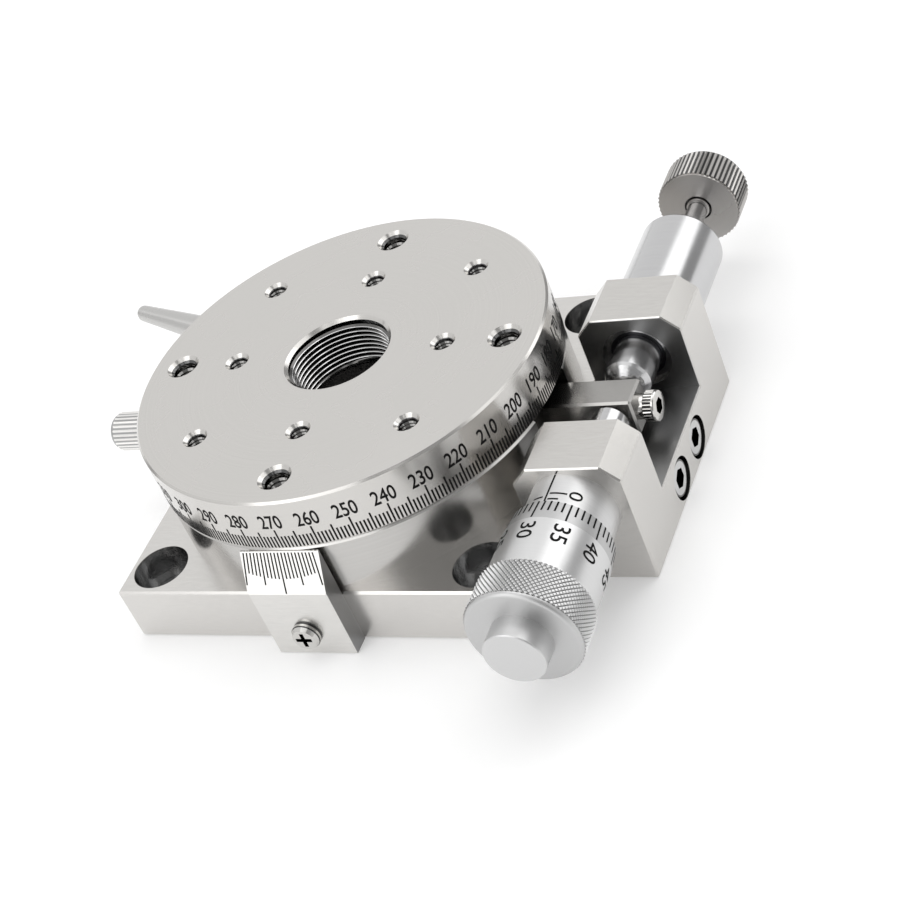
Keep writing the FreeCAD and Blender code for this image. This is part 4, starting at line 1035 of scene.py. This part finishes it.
def make_clamp_screw():
    """Shank, knurled head and its rounded outer end, along -X."""
    points = []
    faces = []
    outer = (CLAMP_HIGH.z - CLAMP_LOW.z) / 2
    middle_z = (CLAMP_HIGH.z + CLAMP_LOW.z) / 2
    length = CLAMP_HIGH.x - CLAMP_LOW.x
    head = length - CLAMP_HEAD_LENGTH

    def place(radius, angle, along):
        return about_x(CLAMP_HIGH.x - along, 0.0, middle_z, radius, angle)

    rings = [
        (0.0, AXIS_HOLE),
        (0.0, CLAMP_SHANK - CLAMP_TIP_CHAMFER),
        (CLAMP_TIP_CHAMFER, CLAMP_SHANK),
        (head, CLAMP_SHANK),
        (head, outer - CLAMP_HEAD_CHAMFER),
        (head + CLAMP_HEAD_CHAMFER, outer - CLAMP_DEPTH),
        (head + CLAMP_HEAD_CHAMFER, straight_knurl(outer, CLAMP_DEPTH)),
        (length - CLAMP_ROUND, straight_knurl(outer, CLAMP_DEPTH)),
    ]
    rings += rounded_end(length - CLAMP_ROUND, outer - CLAMP_DEPTH, CLAMP_ROUND)
    rings.append((length, AXIS_HOLE))
    turn_rings(points, faces, rings, 2 * CLAMP_TEETH, place)
    # Painted shade in the grooves of the knurl
    finish = recessed(metal("turned_head"), [((0.0, 0.0, middle_z), ALONG_X)],
                      outer - CLAMP_GROOVE, "X", -1, CLAMP_HIGH.x - head, CLAMP_GROOVE_PAINTED_SHADE)
    piece = mesh_piece("clamp_screw_knurled", points, faces, "thumb_screw", finish)
    finish_turned(piece)
    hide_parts("clamp_screw")


# Arm screw. Six points to a tooth make the count a multiple of six, so that the hexagon has
# its corners.
ARM_SCREW_TEETH = 26
POINTS_PER_TOOTH = 6
ARM_SCREW_DEPTH = 0.16 * MM
ARM_SCREW_GROOVE = 0.65 * ARM_SCREW_DEPTH
ARM_SCREW_GROOVE_START = 0.42 * MM
ARM_SCREW_GROOVE_PAINTED_SHADE = 0.05
ARM_SCREW_RADIUS = 1.25 * MM
ARM_SCREW_HEAD = 2.12 * MM
ARM_SCREW_HEAD_LENGTH = 1.65 * MM
ARM_SCREW_BACK_DROP = 0.15 * MM
ARM_SCREW_BACK_LENGTH = 0.1 * MM
ARM_SCREW_TEETH_END = 0.45 * MM
ARM_SCREW_BAND = 0.4 * MM
ARM_SCREW_BAND_DROP = 0.02 * MM
ARM_SCREW_EDGE = 0.2 * MM
HEX_ACROSS = 2.0 * MM
HEX_DEPTH = 1.3 * MM
# Radius and start of the painted shade in the hexagon socket
HEX_DARK_RADIUS = 1.2 * MM
HEX_DARK_START = 0.06 * MM


def hexagon(across, count):
    """Radius of a hexagon at each of count points round it."""
    def radius(k):
        angle = (2 * math.pi * k / count) % (math.pi / 3) - math.pi / 6
        return across / 2 / math.cos(angle)

    return radius


def rounded_teeth(k):
    """Radius of the arm screw's fine knurl at point k."""
    wave = 0.5 + 0.5 * math.cos(2 * math.pi * k / POINTS_PER_TOOTH)
    return ARM_SCREW_HEAD - ARM_SCREW_DEPTH * (1 - wave)


def make_arm_screw():
    """Shank, knurled head and hexagon socket, along +X."""
    points = []
    faces = []
    middle_y = (ARM_SCREW_LOW.y + ARM_SCREW_HIGH.y) / 2
    middle_z = (ARM_SCREW_LOW.z + ARM_SCREW_HIGH.z) / 2
    length = ARM_SCREW_HIGH.x - ARM_SCREW_LOW.x
    head = length - ARM_SCREW_HEAD_LENGTH
    band = ARM_SCREW_HEAD - ARM_SCREW_BAND_DROP
    count = POINTS_PER_TOOTH * ARM_SCREW_TEETH

    def place(radius, angle, along):
        return about_x(ARM_SCREW_LOW.x + along, middle_y, middle_z, radius, angle)

    rings = [
        (0.0, AXIS_HOLE),
        (0.0, ARM_SCREW_RADIUS),
        (head, ARM_SCREW_RADIUS),
        (head, ARM_SCREW_HEAD - ARM_SCREW_BACK_DROP),
        (head + ARM_SCREW_BACK_LENGTH, rounded_teeth),
        (length - ARM_SCREW_TEETH_END, rounded_teeth),
        (length - ARM_SCREW_BAND, band),
        (length - ARM_SCREW_EDGE, band),
        (length - ARM_SCREW_EDGE / 4, ARM_SCREW_HEAD - ARM_SCREW_EDGE / 2),
        (length, band - ARM_SCREW_EDGE),
        (length, hexagon(HEX_ACROSS, count)),
        (length - HEX_DEPTH, hexagon(HEX_ACROSS, count)),
        (length - HEX_DEPTH, AXIS_HOLE),
    ]
    turn_rings(points, faces, rings, count, place)
    line = ((0.0, middle_y, middle_z), ALONG_X)
    # Painted shade in the hexagon socket and in the grooves of the knurl
    finish = recessed(metal("knurled_screw"), [line], HEX_DARK_RADIUS, "X", -1,
                      ARM_SCREW_HIGH.x - HEX_DARK_START, DEEP_RECESS_PAINTED_SHADE)
    recessed(finish, [line], ARM_SCREW_HEAD - ARM_SCREW_GROOVE, "X", -1,
             ARM_SCREW_HIGH.x - ARM_SCREW_GROOVE_START, ARM_SCREW_GROOVE_PAINTED_SHADE)
    piece = mesh_piece("arm_screw_knurled", points, faces, "tangent_ring", finish)
    finish_turned(piece)
    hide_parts("arm_screw")


# Threads: radius of the wall and of the crests, pitch, and how far below the top they end
CENTRE_THREAD = (7.4 * MM, 7.0 * MM, 0.75 * MM, 0.5 * MM)
M4_THREAD = (1.65 * MM, 1.42 * MM, 0.7 * MM, 0.8 * MM)
M3_THREAD = (1.25 * MM, 1.08 * MM, 0.5 * MM, 0.6 * MM)
CENTRE_POINTS_ROUND = 96
HOLE_POINTS_ROUND = 28
THREAD_FADE_TURNS = 0.5
THREAD_SHARP_ANGLE = 40.0
# Width of the painted highlight on the centre thread's crests, and its grey
CREST_HIGHLIGHT_BAND = 0.07 * MM
CREST_PAINTED_HIGHLIGHT = 0.75

# Half widths of a ridge at the wall and at its crest, as shares of the pitch
RIDGE_FOOT = 0.48
RIDGE_CREST = 0.1

# Rings of tapped holes in the table: name, radius of the ring, its turn and its thread
TABLE_ANGLE = math.radians(2.4)
TABLE_HOLES = (
    ("m4_thread", 25.0 * MM, 0.0, M4_THREAD),
    ("m3_thread", 16.0 * MM, 0.0, M3_THREAD),
    ("m3_corner_thread", 22.627 * MM, math.pi / 4, M3_THREAD),
)


def inner_thread(name, centre, thread, around, finish):
    """A helical ridge on a hole's wall, fading out at both ends."""
    wall, crest, pitch, sink = thread
    turns = (TABLE_TOP - sink - TABLE_FOOT) / pitch - 1
    steps = int(turns * around)
    fading = around * THREAD_FADE_TURNS
    profile = [(wall, -RIDGE_FOOT), (crest, -RIDGE_CREST), (crest, RIDGE_CREST),
               (wall, RIDGE_FOOT)]
    points = []
    faces = []
    for step in range(steps + 1):
        angle = 2 * math.pi * step / around
        z = TABLE_FOOT + pitch / 2 + pitch * step / around
        fade = min(1.0, step / fading, (steps - step) / fading)
        for radius, rise in profile:
            r = wall + (radius - wall) * fade
            points.append(Vector((centre[0] + r * math.cos(angle), centre[1] + r * math.sin(angle),
                                  z + rise * pitch)))
    row = len(profile)
    for step in range(steps):
        for k in range(row - 1):
            a = row * step + k
            faces.append((a, a + 1, a + row + 1, a + row))
    piece = mesh_piece(name, points, faces, "table", finish)
    finish_turned(piece, THREAD_SHARP_ANGLE)


def centre_thread_finish():
    """Painted shade on the flanks and a painted highlight on the crests."""
    material = metal("centre_thread")
    crest = near_line(material.node_tree, *TURNING_AXIS, CENTRE_THREAD[1] + CREST_HIGHLIGHT_BAND)
    return refinish(material, crest, shade=CREST_PAINTED_HIGHLIGHT)


def make_threads():
    inner_thread("centre_thread", (0.0, 0.0), CENTRE_THREAD, CENTRE_POINTS_ROUND,
                 centre_thread_finish())
    # Painted shade on the threads of the other tapped holes
    dark = metal("cut_thread")
    for quarter in range(4):
        for label, circle, turn, thread in TABLE_HOLES:
            angle = TABLE_ANGLE + quarter * math.pi / 2 + turn
            centre = (circle * math.cos(angle), circle * math.sin(angle))
            inner_thread(f"{label}_{quarter}", centre, thread, HOLE_POINTS_ROUND, dark)


# Camera at the photograph's view, from the fitted lens and pose
CAMERA_PLACE = Vector((0.141530, -0.187611, 0.171943))
CAMERA_TURN = Vector((2.27254, 0.22867, -0.6003))
CAMERA_LENS = 81.266
CAMERA_SENSOR = 36.0
CAMERA_SHIFT = (0.0553, 0.0688)
CAMERA_CLIP = (0.01, 20.0)


def make_camera():
    data = bpy.data.cameras.new("camera")
    camera = bpy.data.objects.new("camera", data)
    bpy.context.collection.objects.link(camera)
    world_to_view = Quaternion(CAMERA_TURN.normalized(), CAMERA_TURN.length).to_matrix()
    right, down, ahead = world_to_view
    turn = Matrix((right, -down, -ahead)).transposed().to_4x4()
    camera.matrix_world = Matrix.Translation(CAMERA_PLACE) @ turn
    data.sensor_width = CAMERA_SENSOR
    data.lens = CAMERA_LENS
    data.shift_x, data.shift_y = CAMERA_SHIFT
    data.clip_start, data.clip_end = CAMERA_CLIP
    bpy.context.scene.camera = camera


# Studio. Levels are brightnesses where 1 is white, and a lamp's power is in watts per square
# metre at level 1.
STUDIO_RADIUS = 0.8
LAMP_POWER = 4.0
WORLD_LEVEL = 0.36
WORLD_MIRRORED = 0.38

# Softboxes: azimuth, elevation, half width and half height in degrees, and level
SOFTBOXES = {
    "top_back_softbox": (90, 75, 23, 15, 1.2),
    "top_front_softbox": (-90, 75, 23, 15, 0.65),
    "key_softbox": (59, 38, 16, 16, 1.3),
    "back_softbox": (132, 30, 39, 28, 0.45),
    "left_softbox": (-152, 31, 32, 30, 0.4),
    "front_softbox": (-106, 30, 21, 29, 1.0),
    "right_softbox": (-5, 20, 22, 18, 0.34),
    "right_high_softbox": (20, 49, 15, 11, 0.8),
}


def on_dome(azimuth, elevation, distance):
    """A place round the object, by degrees from +X round to +Y and up from the floor."""
    turn = math.radians(azimuth)
    rise = math.radians(elevation)
    flat = distance * math.cos(rise)
    return Vector((flat * math.cos(turn), flat * math.sin(turn), distance * math.sin(rise)))


def softbox(name, azimuth, elevation, half_width, half_height, level):
    """An area lamp that faces the object, placed and sized in degrees as the object sees it."""
    data = bpy.data.lights.new(name, "AREA")
    data.shape = "RECTANGLE"
    data.size = 2 * STUDIO_RADIUS * math.tan(math.radians(half_width))
    data.size_y = 2 * STUDIO_RADIUS * math.tan(math.radians(half_height))
    data.energy = LAMP_POWER * data.size * data.size_y * level
    lamp = bpy.data.objects.new(name, data)
    bpy.context.collection.objects.link(lamp)
    lamp.location = on_dome(azimuth, elevation, STUDIO_RADIUS)
    lamp.rotation_euler = (-lamp.location).to_track_quat("-Z", "Y").to_euler()
    lamp.visible_camera = False


def make_studio():
    """Softboxes round the object, with darker gaps between them."""
    for name, settings in SOFTBOXES.items():
        softbox(name, *settings)


def mirrored_ray(tree, path):
    """One for a ray that a glossy or clear surface sends on."""
    return math_node(tree, "MAXIMUM", path.outputs["Is Glossy Ray"],
                     path.outputs["Is Transmission Ray"])


def make_world():
    """White to the camera, and greyer as a light and in mirrors."""
    world = bpy.data.worlds.new("studio")
    world.use_nodes = True
    bpy.context.scene.world = world
    tree = world.node_tree
    background = tree.nodes["Background"]
    background.inputs["Color"].default_value = WHITE
    path = tree.nodes.new("ShaderNodeLightPath")
    lighting = map_range(tree, mirrored_ray(tree, path), (0.0, 1.0),
                         (WORLD_LEVEL, WORLD_MIRRORED))
    strength = map_range(tree, path.outputs["Is Camera Ray"], (0.0, 1.0), (lighting, 1.0))
    tree.links.new(strength, background.inputs["Strength"])


# Floor. The base's half width is the table's radius.
FLOOR_HALF = 3.0
FLOOR_DROP = 0.05 * MM
FLOOR_DARK = (0.79, 0.79, 0.79)
FLOOR_LIGHT = (0.81, 0.81, 0.81)
FLOOR_CLOUD_SCALE = 5.0
FLOOR_ROUGHNESS = 0.9
FLOOR_GLOW = 0.24
FLOOR_LIT_RADIUS = 0.35
FLOOR_FAR_RADIUS = 1.2
FLOOR_FAR_GAIN = 3.3
BASE_EDGE_BLEND = 2 * MM


def outside_base(tree):
    """Zero on the floor under the base, where no light gets in, and one all round it."""
    size = split_vector(tree, vector_node(tree, "ABSOLUTE", object_place(tree)))
    reach = math_node(tree, "MAXIMUM", size["X"], size["Y"])
    return map_range(tree, reach, (TABLE_RADIUS - BASE_EDGE_BLEND, TABLE_RADIUS), (0.0, 1.0))


def far_from_object(tree):
    """One near the object, rising where the lamps no longer reach the floor."""
    distance = vector_node(tree, "LENGTH", object_place(tree))
    return map_range(tree, distance, (FLOOR_LIT_RADIUS, FLOOR_FAR_RADIUS), (1.0, FLOOR_FAR_GAIN))


def make_floor():
    """A pale floor that keeps the object's shadow. Its extra white shows to cameras and mirrors,
    and lights nothing."""
    material, tree, shader = new_material("floor_white")
    shader.inputs["Roughness"].default_value = FLOOR_ROUGHNESS
    shader.inputs["Specular IOR Level"].default_value = 0.0
    cloud = noise(tree, object_place(tree), FLOOR_CLOUD_SCALE)
    tree.links.new(colour_run(tree, cloud, FLOOR_DARK, FLOOR_LIGHT), shader.inputs["Base Color"])
    path = tree.nodes.new("ShaderNodeLightPath")
    filmed = product(tree, path.outputs["Is Camera Ray"], far_from_object(tree))
    seen = math_node(tree, "MAXIMUM", filmed, mirrored_ray(tree, path))
    glow = product(tree, seen, outside_base(tree), FLOOR_GLOW)
    shader.inputs["Emission Color"].default_value = WHITE
    tree.links.new(glow, shader.inputs["Emission Strength"])
    mesh = bpy.data.meshes.new("floor")
    corners = [(-1, -1), (1, -1), (1, 1), (-1, 1)]
    mesh.from_pydata([(x * FLOOR_HALF, y * FLOOR_HALF, 0) for x, y in corners], [],
                     [(0, 1, 2, 3)])
    mesh.materials.append(material)
    floor = bpy.data.objects.new("floor", mesh)
    bpy.context.collection.objects.link(floor)
    floor.location.z = -FLOOR_DROP


dress_cad_nodes()
make_dial_scale()
make_vernier_scale()
make_sleeve_scale()
make_drum_scale()
make_thimble()
make_plunger_knob()
make_clamp_screw()
make_arm_screw()
make_threads()
make_camera()
make_world()
make_floor()
make_studio()
bpy.context.scene.view_settings.view_transform = "Standard"

bpy.context.view_layer.update()
